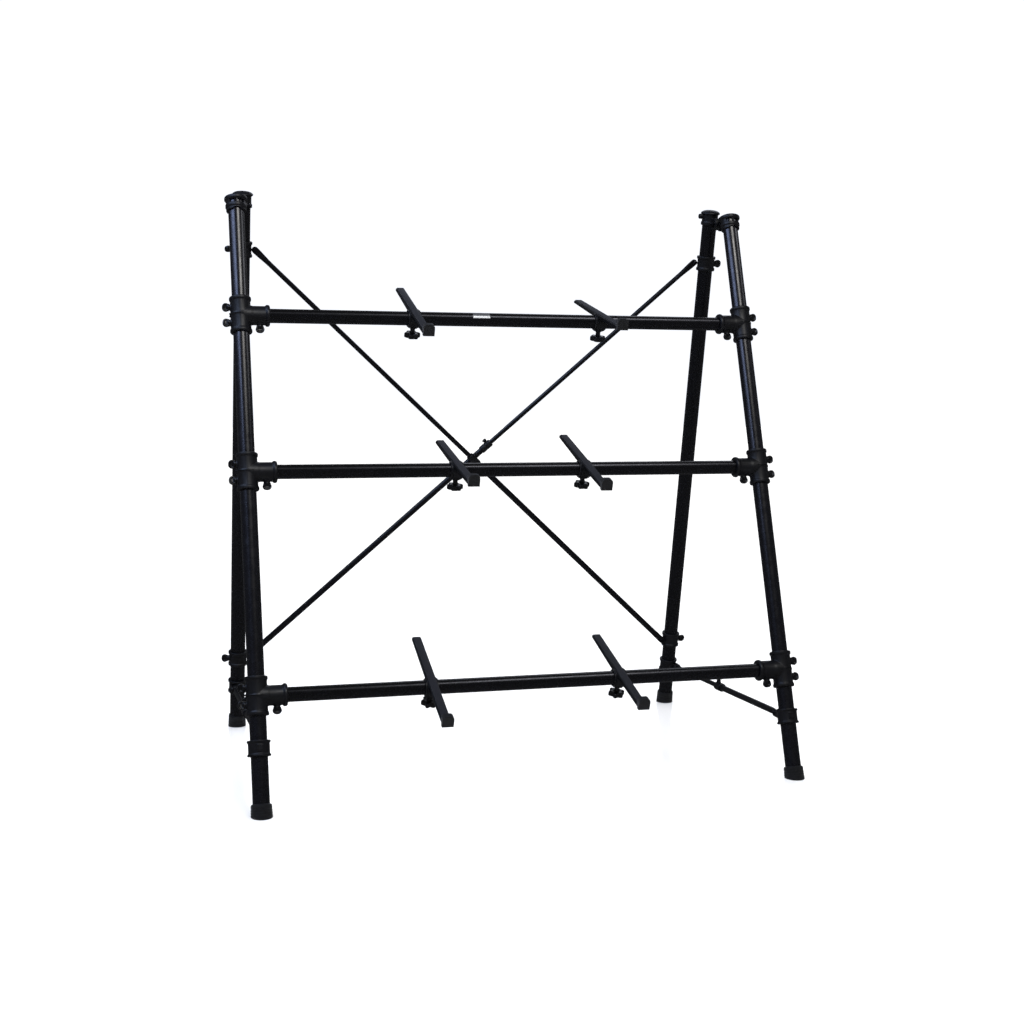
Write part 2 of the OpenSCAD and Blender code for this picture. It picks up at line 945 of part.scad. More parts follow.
crossbar(TOP);  // crossbar_top
couplers(TOP);  // couplers_top
coupler_knobs(TOP);  // coupler_knobs_top
crossbar(MIDDLE);  // crossbar_middle
couplers(MIDDLE);  // couplers_middle
coupler_knobs(MIDDLE);  // coupler_knobs_middle
crossbar(BOTTOM);  // crossbar_bottom
couplers(BOTTOM);  // couplers_bottom
coupler_knobs(BOTTOM);  // coupler_knobs_bottom
liner(TOP, LEFT);  // liner_top_left
arm(TOP, LEFT);  // arm_top_left
pad(TOP, LEFT);  // pad_top_left
star_knob(TOP, LEFT);  // star_knob_top_left
liner(TOP, RIGHT);  // liner_top_right
arm(TOP, RIGHT);  // arm_top_right
pad(TOP, RIGHT);  // pad_top_right
star_knob(TOP, RIGHT);  // star_knob_top_right
liner(MIDDLE, LEFT);  // liner_middle_left
arm(MIDDLE, LEFT);  // arm_middle_left
pad(MIDDLE, LEFT);  // pad_middle_left
star_knob(MIDDLE, LEFT);  // star_knob_middle_left
liner(MIDDLE, RIGHT);  // liner_middle_right
arm(MIDDLE, RIGHT);  // arm_middle_right
pad(MIDDLE, RIGHT);  // pad_middle_right
star_knob(MIDDLE, RIGHT);  // star_knob_middle_right
liner(BOTTOM, LEFT);  // liner_bottom_left
arm(BOTTOM, LEFT);  // arm_bottom_left
pad(BOTTOM, LEFT);  // pad_bottom_left
star_knob(BOTTOM, LEFT);  // star_knob_bottom_left
liner(BOTTOM, RIGHT);  // liner_bottom_right
arm(BOTTOM, RIGHT);  // arm_bottom_right
pad(BOTTOM, RIGHT);  // pad_bottom_right
star_knob(BOTTOM, RIGHT);  // star_knob_bottom_right
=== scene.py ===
# %% [markdown]
# # A three-tier folding stand, dressed over its CAD frame
# The stand is two front legs that carry three crossbars, two rear legs that hinge on them at the
# top, a crossed pair of telescopic rods at the back and a telescopic strut low on each side.
# The CAD model already gives every tube, bore and joint its true place. This lesson adds what the
# eye wants: moulded plastic with soft edges, folded steel, rubber, paint and light.
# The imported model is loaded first, and its own box is kept, because nothing here may outgrow it.

# %% Load the frame
import json
import math

import bmesh
import bpy
from mathutils import Matrix, Vector


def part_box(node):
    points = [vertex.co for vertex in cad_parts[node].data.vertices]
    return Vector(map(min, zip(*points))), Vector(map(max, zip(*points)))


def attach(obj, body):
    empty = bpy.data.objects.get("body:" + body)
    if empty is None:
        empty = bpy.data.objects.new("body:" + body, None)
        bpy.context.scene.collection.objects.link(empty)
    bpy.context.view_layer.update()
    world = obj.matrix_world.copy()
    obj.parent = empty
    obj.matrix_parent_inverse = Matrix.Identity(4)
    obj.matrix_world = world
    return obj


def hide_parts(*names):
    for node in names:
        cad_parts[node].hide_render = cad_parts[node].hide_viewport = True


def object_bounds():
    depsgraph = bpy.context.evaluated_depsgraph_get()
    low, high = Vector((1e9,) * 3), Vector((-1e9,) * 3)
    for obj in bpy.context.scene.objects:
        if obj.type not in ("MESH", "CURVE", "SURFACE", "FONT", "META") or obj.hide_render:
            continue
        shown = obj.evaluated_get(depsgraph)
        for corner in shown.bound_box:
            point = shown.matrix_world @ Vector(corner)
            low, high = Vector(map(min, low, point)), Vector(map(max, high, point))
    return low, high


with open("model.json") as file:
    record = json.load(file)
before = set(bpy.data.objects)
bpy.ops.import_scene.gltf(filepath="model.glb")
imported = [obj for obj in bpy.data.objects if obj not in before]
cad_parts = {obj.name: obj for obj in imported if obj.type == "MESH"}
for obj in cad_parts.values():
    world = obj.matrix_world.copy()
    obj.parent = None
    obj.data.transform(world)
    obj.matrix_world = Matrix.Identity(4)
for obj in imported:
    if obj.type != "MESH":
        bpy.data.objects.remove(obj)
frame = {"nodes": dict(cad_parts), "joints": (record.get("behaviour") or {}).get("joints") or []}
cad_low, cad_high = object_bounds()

print("CAD box in metres:", [round(v, 3) for v in (*cad_low, *cad_high)])

# %% [markdown]
# ## Places
# Small parts are drawn in millimetres in a frame of their own, as a toolmaker draws them, and then
# carried to where the CAD model says they belong. A frame is a 4 x 4 matrix: its columns are the
# three axes and the origin. The places could be typed in again from a drawing, but they are
# measured from the CAD nodes and joints instead, so that the two models can't drift apart.

# %% Measuring in a local frame
MM = 0.001
TO_MM = Matrix.Scale(1 / MM, 4)
FROM_MM = Matrix.Scale(MM, 4)
MIRROR = Matrix.Scale(-1, 4, (1, 0, 0))
X = Vector((1, 0, 0))
SIDES = {"left": MIRROR, "right": Matrix.Identity(4)}
TIERS = ("top", "middle", "bottom")
joints = {joint["name"]: joint for joint in frame["joints"]}


def axes(origin, z_axis):
    """Frame at origin whose Z runs along z_axis and whose X is the stand's own X."""
    z = Vector(z_axis).normalized()
    y = z.cross(X)
    return Matrix.Translation(origin) @ Matrix((X, y, z)).transposed().to_4x4()


def measure(node, place):
    """Lowest and highest corner of a CAD node in a frame, in millimetres."""
    inverse = TO_MM @ place.inverted()
    points = [inverse @ v.co for v in frame["nodes"][node].data.vertices]
    low = Vector([min(p[i] for p in points) for i in range(3)])
    high = Vector([max(p[i] for p in points) for i in range(3)])
    return low, high


def leg_axis(node, lean_sign):
    """Point of a leaning tube's axis on the floor, and the axis's direction."""
    low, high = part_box(node)
    size, middle = high - low, (low + high) / 2
    lean = 0.2
    for _ in range(30):
        run = size.y - size.x * math.cos(lean)
        rise = size.z - size.x * math.sin(lean)
        lean = math.atan2(run, rise)
    direction = Vector((0, lean_sign * math.sin(lean), math.cos(lean)))
    return middle - direction * (middle.z / direction.z), direction


front_floor, front_up = leg_axis("front_leg_right", 1)
rear_floor, rear_up = leg_axis("rear_leg_right", -1)
LEG_R = (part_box("front_leg_right")[1].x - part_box("front_leg_right")[0].x) / 2 / MM
BAR_R = (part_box("crossbar_top")[1].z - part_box("crossbar_top")[0].z) / 2 / MM
lap_x = (front_floor.x + rear_floor.x) / 2
print("leg radius", round(LEG_R, 2), "bar radius", round(BAR_R, 2), "mm")


def on_front_leg(height):
    """Frame on the right-hand front leg at a height above the floor, in metres."""
    return axes(front_floor + front_up * (height / front_up.z), front_up)


def on_rear_leg(height):
    """Frame on the right-hand rear leg at a height above the floor, in metres."""
    return axes(rear_floor + rear_up * (height / rear_up.z), rear_up)


def at(place, x=0.0, y=0.0, z=0.0):
    """The same frame, moved by millimetres along its own axes."""
    return place @ Matrix.Translation((x * MM, y * MM, z * MM))


# %% [markdown]
# ## Drawing with rings
# Almost every part here is a stack of rings: a turned sleeve is circles, a folded channel is U
# shapes, a flattened rod end is ovals. Blender's ready-made cylinders would do for a sketch, but
# they have hard edges and one radius. A loft through rings of equal count gives any profile with
# clean quads, and one function covers them all.

# %% Rings, lofts and outlines
def loft(rings, closed=False):
    """Skin through rings of points. Closed joins the last ring to the first, as in a hoop."""
    count = len(rings[0])
    points = [Vector(p) for ring in rings for p in ring]
    pairs = list(zip(range(len(rings) - 1), range(1, len(rings))))
    if closed:
        pairs.append((len(rings) - 1, 0))
    faces = []
    for a, b in pairs:
        for k in range(count):
            n = (k + 1) % count
            faces.append((a * count + k, a * count + n, b * count + n, b * count + k))
    if not closed:
        faces.append(tuple(reversed(range(count))))
        faces.append(tuple(range((len(rings) - 1) * count, len(rings) * count)))
    return points, faces


def turned(profile, steps=56):
    """Solid turned about Z from (radius, height) pairs, lowest first."""
    angles = [2 * math.pi * k / steps for k in range(steps)]
    return loft([[(r * math.cos(a), r * math.sin(a), z) for a in angles] for r, z in profile])


def rod(radius, start, end, chamfer=0.0):
    """Turned bar from start to end along Z, with an optional chamfer on both ends."""
    if chamfer:
        return turned([(radius - chamfer, start), (radius, start + chamfer),
                       (radius, end - chamfer), (radius - chamfer, end)])
    return turned([(radius, start), (radius, end)])


def rounded(corners, radius, steps=5):
    """Closed outline in XY, counter-clockwise, with an arc at each corner."""
    outline = []
    for k, corner in enumerate(corners):
        here = Vector((*corner, 0))
        back = (Vector((*corners[k - 1], 0)) - here).normalized()
        ahead = (Vector((*corners[(k + 1) % len(corners)], 0)) - here).normalized()
        half = back.angle(ahead) / 2
        centre = here + (back + ahead).normalized() * (radius / math.sin(half))
        start = here + back * (radius / math.tan(half)) - centre
        end = here + ahead * (radius / math.tan(half)) - centre
        outline += [centre + start.slerp(end, s / steps) for s in range(steps + 1)]
    return outline


def slab(outline, low, high):
    """Outline in XY stood up from low to high along Z."""
    return loft([[(p[0], p[1], z) for p in outline] for z in (low, high)])


def box(low, high):
    """Block between two corners."""
    return slab([(low[0], low[1]), (high[0], low[1]), (high[0], high[1]), (low[0], high[1])],
                low[2], high[2])


def arc_sweep(profile, start, end, steps=40):
    """Profile of (radius, height) points swept about Z between two angles in degrees."""
    rings = []
    for k in range(steps + 1):
        a = math.radians(start + (end - start) * k / steps)
        rings.append([(r * math.cos(a), r * math.sin(a), z) for r, z in profile])
    return loft(rings)


def moved(solid, *matrices):
    """A solid carried through matrices, the last one first."""
    total = Matrix.Identity(4)
    for matrix in matrices:
        total = total @ matrix
    return [total @ p for p in solid[0]], solid[1]


Z_TO_X = Matrix.Rotation(math.radians(90), 4, "Y")
Z_TO_Y = Matrix.Rotation(math.radians(-90), 4, "X")
UPSIDE_DOWN = Matrix.Rotation(math.pi, 4, "X")


def shift(x=0.0, y=0.0, z=0.0):
    return Matrix.Translation((x, y, z))


def as_mesh(*solids):
    """One mesh from several closed solids."""
    points, faces = [], []
    for solid_points, solid_faces in solids:
        base = len(points)
        points += solid_points
        faces += [tuple(base + i for i in face) for face in solid_faces]
    mesh = bpy.data.meshes.new("work")
    mesh.from_pydata([tuple(p) for p in points], [], faces)
    outward = bmesh.new()
    outward.from_mesh(mesh)
    bmesh.ops.recalc_face_normals(outward, faces=outward.faces)
    outward.to_mesh(mesh)
    outward.free()
    return mesh


def together(*meshes):
    """One mesh that holds copies of several."""
    whole = bmesh.new()
    for mesh in meshes:
        whole.from_mesh(mesh)
    result = bpy.data.meshes.new("work")
    whole.to_mesh(result)
    whole.free()
    return result


# %% [markdown]
# ## Working a mesh
# A moulded part has no sharp inside corners, because molten plastic and the cutter that made the
# steel mould both round them. The same look comes from three modifiers in a row: a voxel remesh
# melts overlapping solids into one skin, a smooth pass draws the corners round, and a decimate
# takes away the faces that flat stretches don't need. Bores are cut last, so they stay crisp.
# Bevel is the quick answer for single solids, such as a bolt head.

# %% Modifiers as tools
def worked(mesh, *steps):
    """The mesh after some modifiers, each given as (type, settings)."""
    bench = bpy.data.objects.new("bench", mesh)
    bpy.context.scene.collection.objects.link(bench)
    for kind, settings in steps:
        modifier = bench.modifiers.new(kind.lower(), kind)
        for name, value in settings.items():
            setattr(modifier, name, value)
    graph = bpy.context.evaluated_depsgraph_get()
    result = bpy.data.meshes.new_from_object(bench.evaluated_get(graph))
    bpy.data.objects.remove(bench)
    bpy.data.meshes.remove(mesh)
    return result


def cut(mesh, *cutters):
    """The mesh with each cutter taken out of it."""
    for solid in cutters:
        tool = bpy.data.objects.new("tool", as_mesh(solid))
        bpy.context.scene.collection.objects.link(tool)
        mesh = worked(mesh, ("BOOLEAN", {"operation": "DIFFERENCE", "object": tool,
                                         "solver": "EXACT"}))
        tool_mesh = tool.data
        bpy.data.objects.remove(tool)
        bpy.data.meshes.remove(tool_mesh)
    return mesh


def moulded(solids, voxel=0.6, softness=5, faces=9000, cutters=()):
    """Overlapping solids melted into one soft-edged part of about that many triangles."""
    mesh = worked(as_mesh(*solids),
                  ("REMESH", {"mode": "VOXEL", "voxel_size": voxel}),
                  ("SMOOTH", {"factor": 0.5, "iterations": softness}))
    share = min(1.0, faces / (2 * len(mesh.polygons)))
    mesh = worked(mesh, ("DECIMATE", {"ratio": share}))
    return cut(mesh, *cutters)


def bevelled(solids, width=0.6, segments=2, cutters=()):
    """Solids with their sharp edges broken by a small round."""
    mesh = cut(as_mesh(*solids), *cutters)
    return worked(mesh, ("BEVEL", {"width": width, "segments": segments,
                                   "limit_method": "ANGLE", "angle_limit": math.radians(40)}))


# %% [markdown]
# ## Colour and nodes
# A hex colour is what a screen shows, and a renderer counts light, so every colour goes through
# one function that turns sRGB into linear values. One more function adds a shader node, sets what
# it is given and links what feeds it. Patterns are placed by each object's own coordinates, in
# metres, so a grain of half a millimetre has a scale of one over half a millimetre.

# %% Material helpers
def linear(code):
    """Linear colour from an sRGB hex code."""
    channels = [int(code[i:i + 2], 16) / 255 for i in (1, 3, 5)]
    return (*[c / 12.92 if c <= 0.04045 else ((c + 0.055) / 1.055) ** 2.4 for c in channels], 1)


def per_mm(size):
    """Texture scale that makes one feature this many millimetres wide."""
    return 1 / (size * MM)


def add(tree, kind, settings=None, links=None):
    """A node with its settings, by attribute or by socket name, and its incoming links."""
    node = tree.nodes.new(kind)
    for name, value in (settings or {}).items():
        if isinstance(name, str) and hasattr(node, name):
            setattr(node, name, value)
        else:
            node.inputs[name].default_value = value
    for name, source in (links or {}).items():
        tree.links.new(source, node.inputs[name])
    return node


def new_material(name):
    """An empty node material, its tree and the coordinates fixed to the part."""
    material = bpy.data.materials.new(name)
    material.use_nodes = True
    material.node_tree.nodes.clear()
    place = add(material.node_tree, "ShaderNodeTexCoord")
    return material, material.node_tree, place.outputs["Object"]


def surface(tree, shader):
    add(tree, "ShaderNodeOutputMaterial", links={"Surface": shader.outputs["BSDF"]})


def mixed(tree, factor, first, second):
    """Colour between two hex codes by a factor socket."""
    return add(tree, "ShaderNodeMix", {"data_type": "RGBA", 6: linear(first), 7: linear(second)},
               {0: factor}).outputs[2]


def spread(tree, source, low, high, into_low, into_high):
    """A value carried from one span to another, held at both ends."""
    return add(tree, "ShaderNodeMapRange",
               {"From Min": low, "From Max": high, "To Min": into_low, "To Max": into_high},
               {"Value": source}).outputs["Result"]


# %% [markdown]
# ### Powder coat
# The tubes are steel, coated with black polyester powder and baked. The powder melts into a skin
# with a gentle orange-peel ripple a millimetre or two across, which breaks up every highlight. It
# is a plastic, so IOR 1.5 and no metallic; the satin black has a breath of blue in it.
# The folded arms have a finer, duller texture coat of the same powder.

# %% Powder coat, satin and texture
def powder_coat(name, dark, light, gloss, peel_mm, peel_depth):
    material, tree, place = new_material(name)
    clouds = add(tree, "ShaderNodeTexNoise", {"Scale": per_mm(90), "Detail": 3.0},
                 {"Vector": place})
    peel = add(tree, "ShaderNodeTexNoise", {"Scale": per_mm(peel_mm), "Detail": 1.0},
               {"Vector": place})
    rub = add(tree, "ShaderNodeTexNoise", {"Scale": per_mm(14), "Detail": 6.0}, {"Vector": place})
    bump = add(tree, "ShaderNodeBump", {"Strength": 0.35, "Distance": peel_depth * MM},
               {"Height": peel.outputs["Fac"]})
    shader = add(tree, "ShaderNodeBsdfPrincipled", {"IOR": 1.5}, {
        "Base Color": mixed(tree, clouds.outputs["Fac"], dark, light),
        "Roughness": spread(tree, rub.outputs["Fac"], 0.3, 0.7, gloss - 0.04, gloss + 0.06),
        "Normal": bump.outputs["Normal"]})
    surface(tree, shader)
    return material


# Real orange peel is 1 to 2 mm across. It is drawn at 5 mm so that it shows as a soft ripple.
tube_paint = powder_coat("satin_black_powder_coat", "#08080c", "#0d0d13", 0.26, 5.0, 0.03)
arm_paint = powder_coat("texture_black_powder_coat", "#0b0b0e", "#131317", 0.44, 2.5, 0.04)
print("powder coats:", tube_paint.name, arm_paint.name)

# %% [markdown]
# ### Moulded nylon
# The couplers, caps and clamps are glass-filled nylon, injection moulded in a spark-eroded tool.
# The tool leaves a fine even grain, about a third of a millimetre, that turns the gloss of the
# plastic into a soft sheen. Corners that hands and hinges rub go a little lighter,
# which the pointiness of the mesh can find. The knobs are the same plastic from a polished tool.

# %% Moulded nylon, grained and polished
def moulded_nylon(name, dark, light, gloss, grain_mm, grain_depth):
    material, tree, place = new_material(name)
    clouds = add(tree, "ShaderNodeTexNoise", {"Scale": per_mm(25), "Detail": 4.0},
                 {"Vector": place})
    grain = add(tree, "ShaderNodeTexNoise", {"Scale": per_mm(grain_mm), "Detail": 3.0,
                                             "Roughness": 0.6}, {"Vector": place})
    shape = add(tree, "ShaderNodeNewGeometry")
    edge = spread(tree, shape.outputs["Pointiness"], 0.52, 0.62, 0.0, 0.5)
    tone = add(tree, "ShaderNodeMath", {"operation": "ADD", "use_clamp": True},
               {0: edge, 1: spread(tree, clouds.outputs["Fac"], 0.35, 0.65, 0.0, 0.5)})
    bump = add(tree, "ShaderNodeBump", {"Strength": 0.4, "Distance": grain_depth * MM},
               {"Height": grain.outputs["Fac"]})
    shader = add(tree, "ShaderNodeBsdfPrincipled", {"IOR": 1.53}, {
        "Base Color": mixed(tree, tone.outputs[0], dark, light),
        "Roughness": spread(tree, clouds.outputs["Fac"], 0.3, 0.7, gloss + 0.05, gloss - 0.05),
        "Normal": bump.outputs["Normal"]})
    surface(tree, shader)
    return material


fitting_plastic = moulded_nylon("grained_black_nylon", "#0d0d11", "#18181e", 0.42, 0.35, 0.08)
knob_plastic = moulded_nylon("polished_black_nylon", "#0c0c0f", "#18181c", 0.30, 1.2, 0.04)
liner_nylon = moulded_nylon("natural_black_nylon", "#18181a", "#26262a", 0.38, 0.8, 0.05)
print("moulded plastics:", fitting_plastic.name, knob_plastic.name, liner_nylon.name)

# %% [markdown]
# ### Rubber
# The strips on the arms are sheet rubber, pressed against cloth while it cures, so its face holds
# a fine pebble. Bloom, the wax that rubber sweats out, greys it in patches. Rubber scatters light
# in its skin, so it is rough and nearly without a highlight. The feet are plainer and dustier.

# %% Sheet rubber and foot rubber
def rubber(name, dark, light, pebble_mm, pebble_depth, dust_mm):
    material, tree, place = new_material(name)
    bloom = add(tree, "ShaderNodeTexNoise", {"Scale": per_mm(dust_mm), "Detail": 5.0},
                {"Vector": place})
    pebble = add(tree, "ShaderNodeTexVoronoi", {"Scale": per_mm(pebble_mm),
                                                "feature": "SMOOTH_F1", "Smoothness": 0.6},
                 {"Vector": place})
    speck = add(tree, "ShaderNodeTexNoise", {"Scale": per_mm(pebble_mm * 1.5), "Detail": 2.0},
                {"Vector": place})
    tone = add(tree, "ShaderNodeMath", {"operation": "MULTIPLY_ADD", 1: 0.5},
               {0: bloom.outputs["Fac"], 2: spread(tree, speck.outputs["Fac"], 0.35, 0.7, 0, 0.5)})
    bump = add(tree, "ShaderNodeBump", {"Strength": 0.7, "Distance": pebble_depth * MM,
                                        "invert": True}, {"Height": pebble.outputs["Distance"]})
    shader = add(tree, "ShaderNodeBsdfPrincipled", {"IOR": 1.52, "Specular IOR Level": 0.35,
                                                    "Sheen Weight": 0.15}, {
        "Base Color": mixed(tree, tone.outputs[0], dark, light),
        "Roughness": spread(tree, bloom.outputs["Fac"], 0.3, 0.7, 0.68, 0.82),
        "Normal": bump.outputs["Normal"]})
    surface(tree, shader)
    return material


# A real pebble is near 0.6 mm; it is drawn at 1.2 mm so that it still shows from across a room.
pad_rubber = rubber("pebbled_charcoal_rubber", "#1d1d21", "#38383e", 1.2, 0.25, 22)
foot_rubber = rubber("moulded_black_rubber", "#0e0e10", "#1b1b1d", 0.9, 0.10, 15)
print("rubbers:", pad_rubber.name, foot_rubber.name)

# %% [markdown]
# ### Steel and foil
# Bolts, nuts and rivets are steel with a black zinc plating, so they are metal, dark and brushed
# round by their making. The blank rating label is silvered polyester foil.

# %% Plated steel and silver foil
def plated_metal(name, dark, light, gloss, mark_mm):
    material, tree, place = new_material(name)
    stretch = add(tree, "ShaderNodeMapping", {"Scale": (0.15, 1, 1)}, {"Vector": place})
    lines = add(tree, "ShaderNodeTexNoise", {"Scale": per_mm(mark_mm), "Detail": 4.0},
                {"Vector": stretch.outputs["Vector"]})
    bump = add(tree, "ShaderNodeBump", {"Strength": 0.2, "Distance": 0.03 * MM},
               {"Height": lines.outputs["Fac"]})
    shader = add(tree, "ShaderNodeBsdfPrincipled", {"Metallic": 1.0}, {
        "Base Color": mixed(tree, lines.outputs["Fac"], dark, light),
        "Roughness": spread(tree, lines.outputs["Fac"], 0.3, 0.7, gloss, gloss + 0.15),
        "Normal": bump.outputs["Normal"]})
    surface(tree, shader)
    return material


fastener_steel = plated_metal("black_zinc_plated_steel", "#2a2a2e", "#4a4a50", 0.28, 0.5)
label_foil = plated_metal("silvered_polyester_foil", "#b9bcc2", "#dfe2e6", 0.30, 0.4)
SLOTS = {"tube_paint": tube_paint, "arm_paint": arm_paint, "fitting_plastic": fitting_plastic,
         "knob_plastic": knob_plastic, "foot_rubber": foot_rubber, "pad_rubber": pad_rubber,
         "liner_nylon": liner_nylon, "fastener_steel": fastener_steel}
print("metals:", fastener_steel.name, label_foil.name)

# %% [markdown]
# ## Putting a part in its place
# A part drawn once is used many times: six couplers, six arms, two dozen knobs. Each copy gets a
# mesh of its own in the stand's frame, so its texture stays with it, and a left-hand copy is
# mirrored and has its faces turned round again. Then it is tied to the CAD body that it moves with.

# %% Placing a piece
made = []


def put(name, mesh, place, body, node, slot):
    """A copy of a mesh drawn in millimetres, set in a frame, riding on a body for a CAD node."""
    matrix = place @ FROM_MM
    copy = mesh.copy()
    copy.transform(matrix)
    if matrix.determinant() < 0:
        copy.flip_normals()
    copy.shade_smooth()
    copy.set_sharp_from_angle(angle=math.radians(38))
    piece = bpy.data.objects.new(name, copy)
    bpy.context.scene.collection.objects.link(piece)
    copy.name = name
    copy.materials.clear()
    copy.materials.append(SLOTS[slot])
    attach(piece, body)
    if node:
        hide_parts(node)
    made.append(piece)
    return piece


# %% [markdown]
# ## Tubes
# The legs and crossbars are plain welded tube, which the CAD model already has exactly, so those
# nodes stay. They only need paint. The rods at the back and the side struts get
# their own meshes further down, because their flattened ends are more than the CAD model shows.

# %% Paint the CAD tubes
TUBES = ["front_leg_left", "front_leg_right", "rear_leg_left", "rear_leg_right",
         "crossbar_top", "crossbar_middle", "crossbar_bottom"]
for name in TUBES:
    tube = frame["nodes"][name]
    tube.data.materials.clear()
    tube.data.materials.append(tube_paint)
print("tubes painted:", len(TUBES))

# %% [markdown]
# ## Thumb knob
# The clamping screws end in a small paddle: an oval plate, dished on both faces so that a thumb
# and a finger find it, on a round hub. The paddle is a loft of ovals that grow to the rim and
# shrink again, then everything is melted together so that paddle and hub blend.

# %% Thumb knob
PADDLE_R, PADDLE_HALF, PADDLE_OUT = 7.7, 1.6, 7.4


def oval(inset, depth, steps=10):
    """Ring of the paddle in XZ at a distance inside its rim, at a depth along Y."""
    ring = []
    for end in (1, -1):
        for k in range(steps + 1):
            a = math.pi * k / steps - math.pi / 2
            ring.append((end * (PADDLE_HALF + (PADDLE_R - inset) * math.cos(a)), depth,
                         PADDLE_OUT + end * (PADDLE_R - inset) * math.sin(a)))
    return ring


dish = [(6.3, 1.6), (5.0, 1.7), (3.8, 2.4), (2.8, 3.3), (1.6, 3.5), (0.7, 3.0), (0.1, 1.8)]
paddle = loft([oval(i, -d) for i, d in dish] + [oval(i, d) for i, d in reversed(dish)])
hub = turned([(6.6, 0), (7.0, 0.6), (7.0, 2.4), (6.2, 3.8), (4.6, 5.4)], 40)
root = box((-7.6, -2.9, 0.8), (7.6, 2.9, 6.5))
thumb_knob = moulded([paddle, hub, root], voxel=0.35, softness=3, faces=2600)
print("thumb knob faces:", len(thumb_knob.polygons))


def stud(radius, length):
    """Plain clamping screw below a knob, with a chamfered tip."""
    return turned([(radius - 0.8, -length), (radius, 0.8 - length), (radius, 1.0)], 24)


def put_thumb_knob(name, place, body, node, stud_length):
    knob = put(name, thumb_knob, place, body, node, "knob_plastic")
    put(name + "_stud", as_mesh(stud(3.0, stud_length)), place, body, None, "fastener_steel")
    return knob


# %% [markdown]
# ## Coupler
# The coupler is the part that makes the stand: a T of nylon with one sleeve on the leg and one on
# the bar, clamped by two screws from outside and one from below. Both mouths have a rounded rim,
# the two halves of the mould meet in a seam at mid height, and two small ribs stiffen the clamp
# between the screws. A flare inside the corner gives the fat fillet that such a casting has.

# %% Coupler
SLEEVE_R, REACH, SCREW_PITCH = 21.25, 60.0, 34.0
SCREW_OUT, LOWER_X, LOWER_Z = 23.0, -39.0, -23.0
leg_sleeve = turned([(21.8, -39), (23, -37.6), (23, -33), (22.2, -31.2), (SLEEVE_R, -30.4),
                     (SLEEVE_R, 30.4), (22.2, 31.2), (23, 33), (23, 37.6), (21.8, 39)])
bar_sleeve = moved(turned([(20.3, 0), (20.3, 28), (20.25, 51), (21.6, 51.8), (22.9, 53.4),
                           (23, 56.5), (22.2, 59), (20.4, REACH)]), Z_TO_X.inverted())
fillet = moved(turned([(21.6, 0), (21.5, 20), (21.0, 22), (20.3, 25)]), Z_TO_X.inverted())
band = turned([(21.2, -2.6), (22.3, -1.6), (22.3, 1.6), (21.2, 2.6)])
screw_bosses = [moved(turned([(7.4, 15), (7.2, 22), (6.8, SCREW_OUT)], 32),
                      shift(z=s * SCREW_PITCH / 2), Z_TO_X) for s in (-1, 1)]
clamp_ribs = [moved(turned([(2.1, 10), (2.1, 22.6), (1.2, 23.9)], 20), shift(z=s * 2.7), Z_TO_X)
              for s in (-1, 1)]
lower_boss = moved(turned([(6.4, LOWER_Z), (7.0, LOWER_Z + 1), (7.0, -12)], 32), shift(LOWER_X))
seam = arc_sweep([(20.7, -0.5), (20.7, 0.5), (26, 0.5), (26, -0.5)], -118, 118)
coupler = moulded(
    [leg_sleeve, bar_sleeve, fillet, band, *screw_bosses, *clamp_ribs, lower_boss],
    voxel=0.7, softness=6, faces=9000,
    cutters=[rod(LEG_R + 0.05, -60, 60),
             moved(rod(BAR_R, LEG_R + 3.5, REACH + 8), Z_TO_X.inverted()), seam])
print("coupler faces:", len(coupler.polygons))

for tier in TIERS:
    height = joints[tier + "_left_arm_tilt"]["pos_m"][2]
    for hand, side in SIDES.items():
        place = side @ on_front_leg(height)
        body, tag = "tier_" + tier, f"{tier}_{hand}"
        put("coupler_" + tag, coupler, place, body, "couplers_" + tier, "fitting_plastic")
        knobs = "coupler_knobs_" + tier
        for word, s in (("lower", -1), ("upper", 1)):
            screw = at(place, SCREW_OUT, 0, s * SCREW_PITCH / 2) @ Z_TO_X
            screw = screw @ Matrix.Rotation(math.radians(s * 8), 4, "Z")
            put_thumb_knob(f"leg_screw_{word}_{tag}", screw, body, knobs, SCREW_OUT - LEG_R - 0.4)
        screw = at(place, LOWER_X, 0, LOWER_Z) @ UPSIDE_DOWN
        put_thumb_knob("bar_screw_" + tag, screw, body, knobs, -LOWER_Z - BAR_R - 0.4)
print("couplers and their screws placed:", len(made))

# %% [markdown]
# ## Arm
# Each arm is a strip of steel folded into a shallow channel, deepest over the bar. Folding leaves
# a round bend, so the channel is lofted from U-shaped rings with an arc at both bends; the rings
# near the rear end get narrower and round the corners off. The saddle that grips the bar is a
# moulded block with cut corners. It is melted separately, since a voxel grid fine enough for thin
# sheet would be wasteful on the whole arm.

# %% Arm channel and saddle
ARM_HALF, SHEET, BEND_R, PAD_Z = 10.0, 2.0, 2.2, 19.35
ARM_REAR, ARM_FRONT, STOP_T, CORNER_R = 160.0, -156.0, 9.0, 3.2
SADDLE_HALF, SADDLE_R, SADDLE_OUT_R, SADDLE_LOW, NUT_Z = 11.0, 16.85, 20.25, 19.5, 21.5
FLANGES = [(ARM_FRONT + STOP_T, 6.0), (-30.0, 8.0), (30.0, 8.0), (ARM_REAR, 5.0)]


def flange_depth(y):
    """Depth of the channel's sides at a place along it."""
    for (y0, d0), (y1, d1) in zip(FLANGES, FLANGES[1:]):
        if y <= y1:
            return d0 + (d1 - d0) * (y - y0) / (y1 - y0)
    return FLANGES[-1][1]


def half_width(y, half):
    """Half width of the strip, rounded off towards its rear corners."""
    into = max(0.0, y - (ARM_REAR - CORNER_R))
    return half - CORNER_R + math.sqrt(max(0.0, CORNER_R ** 2 - into ** 2))


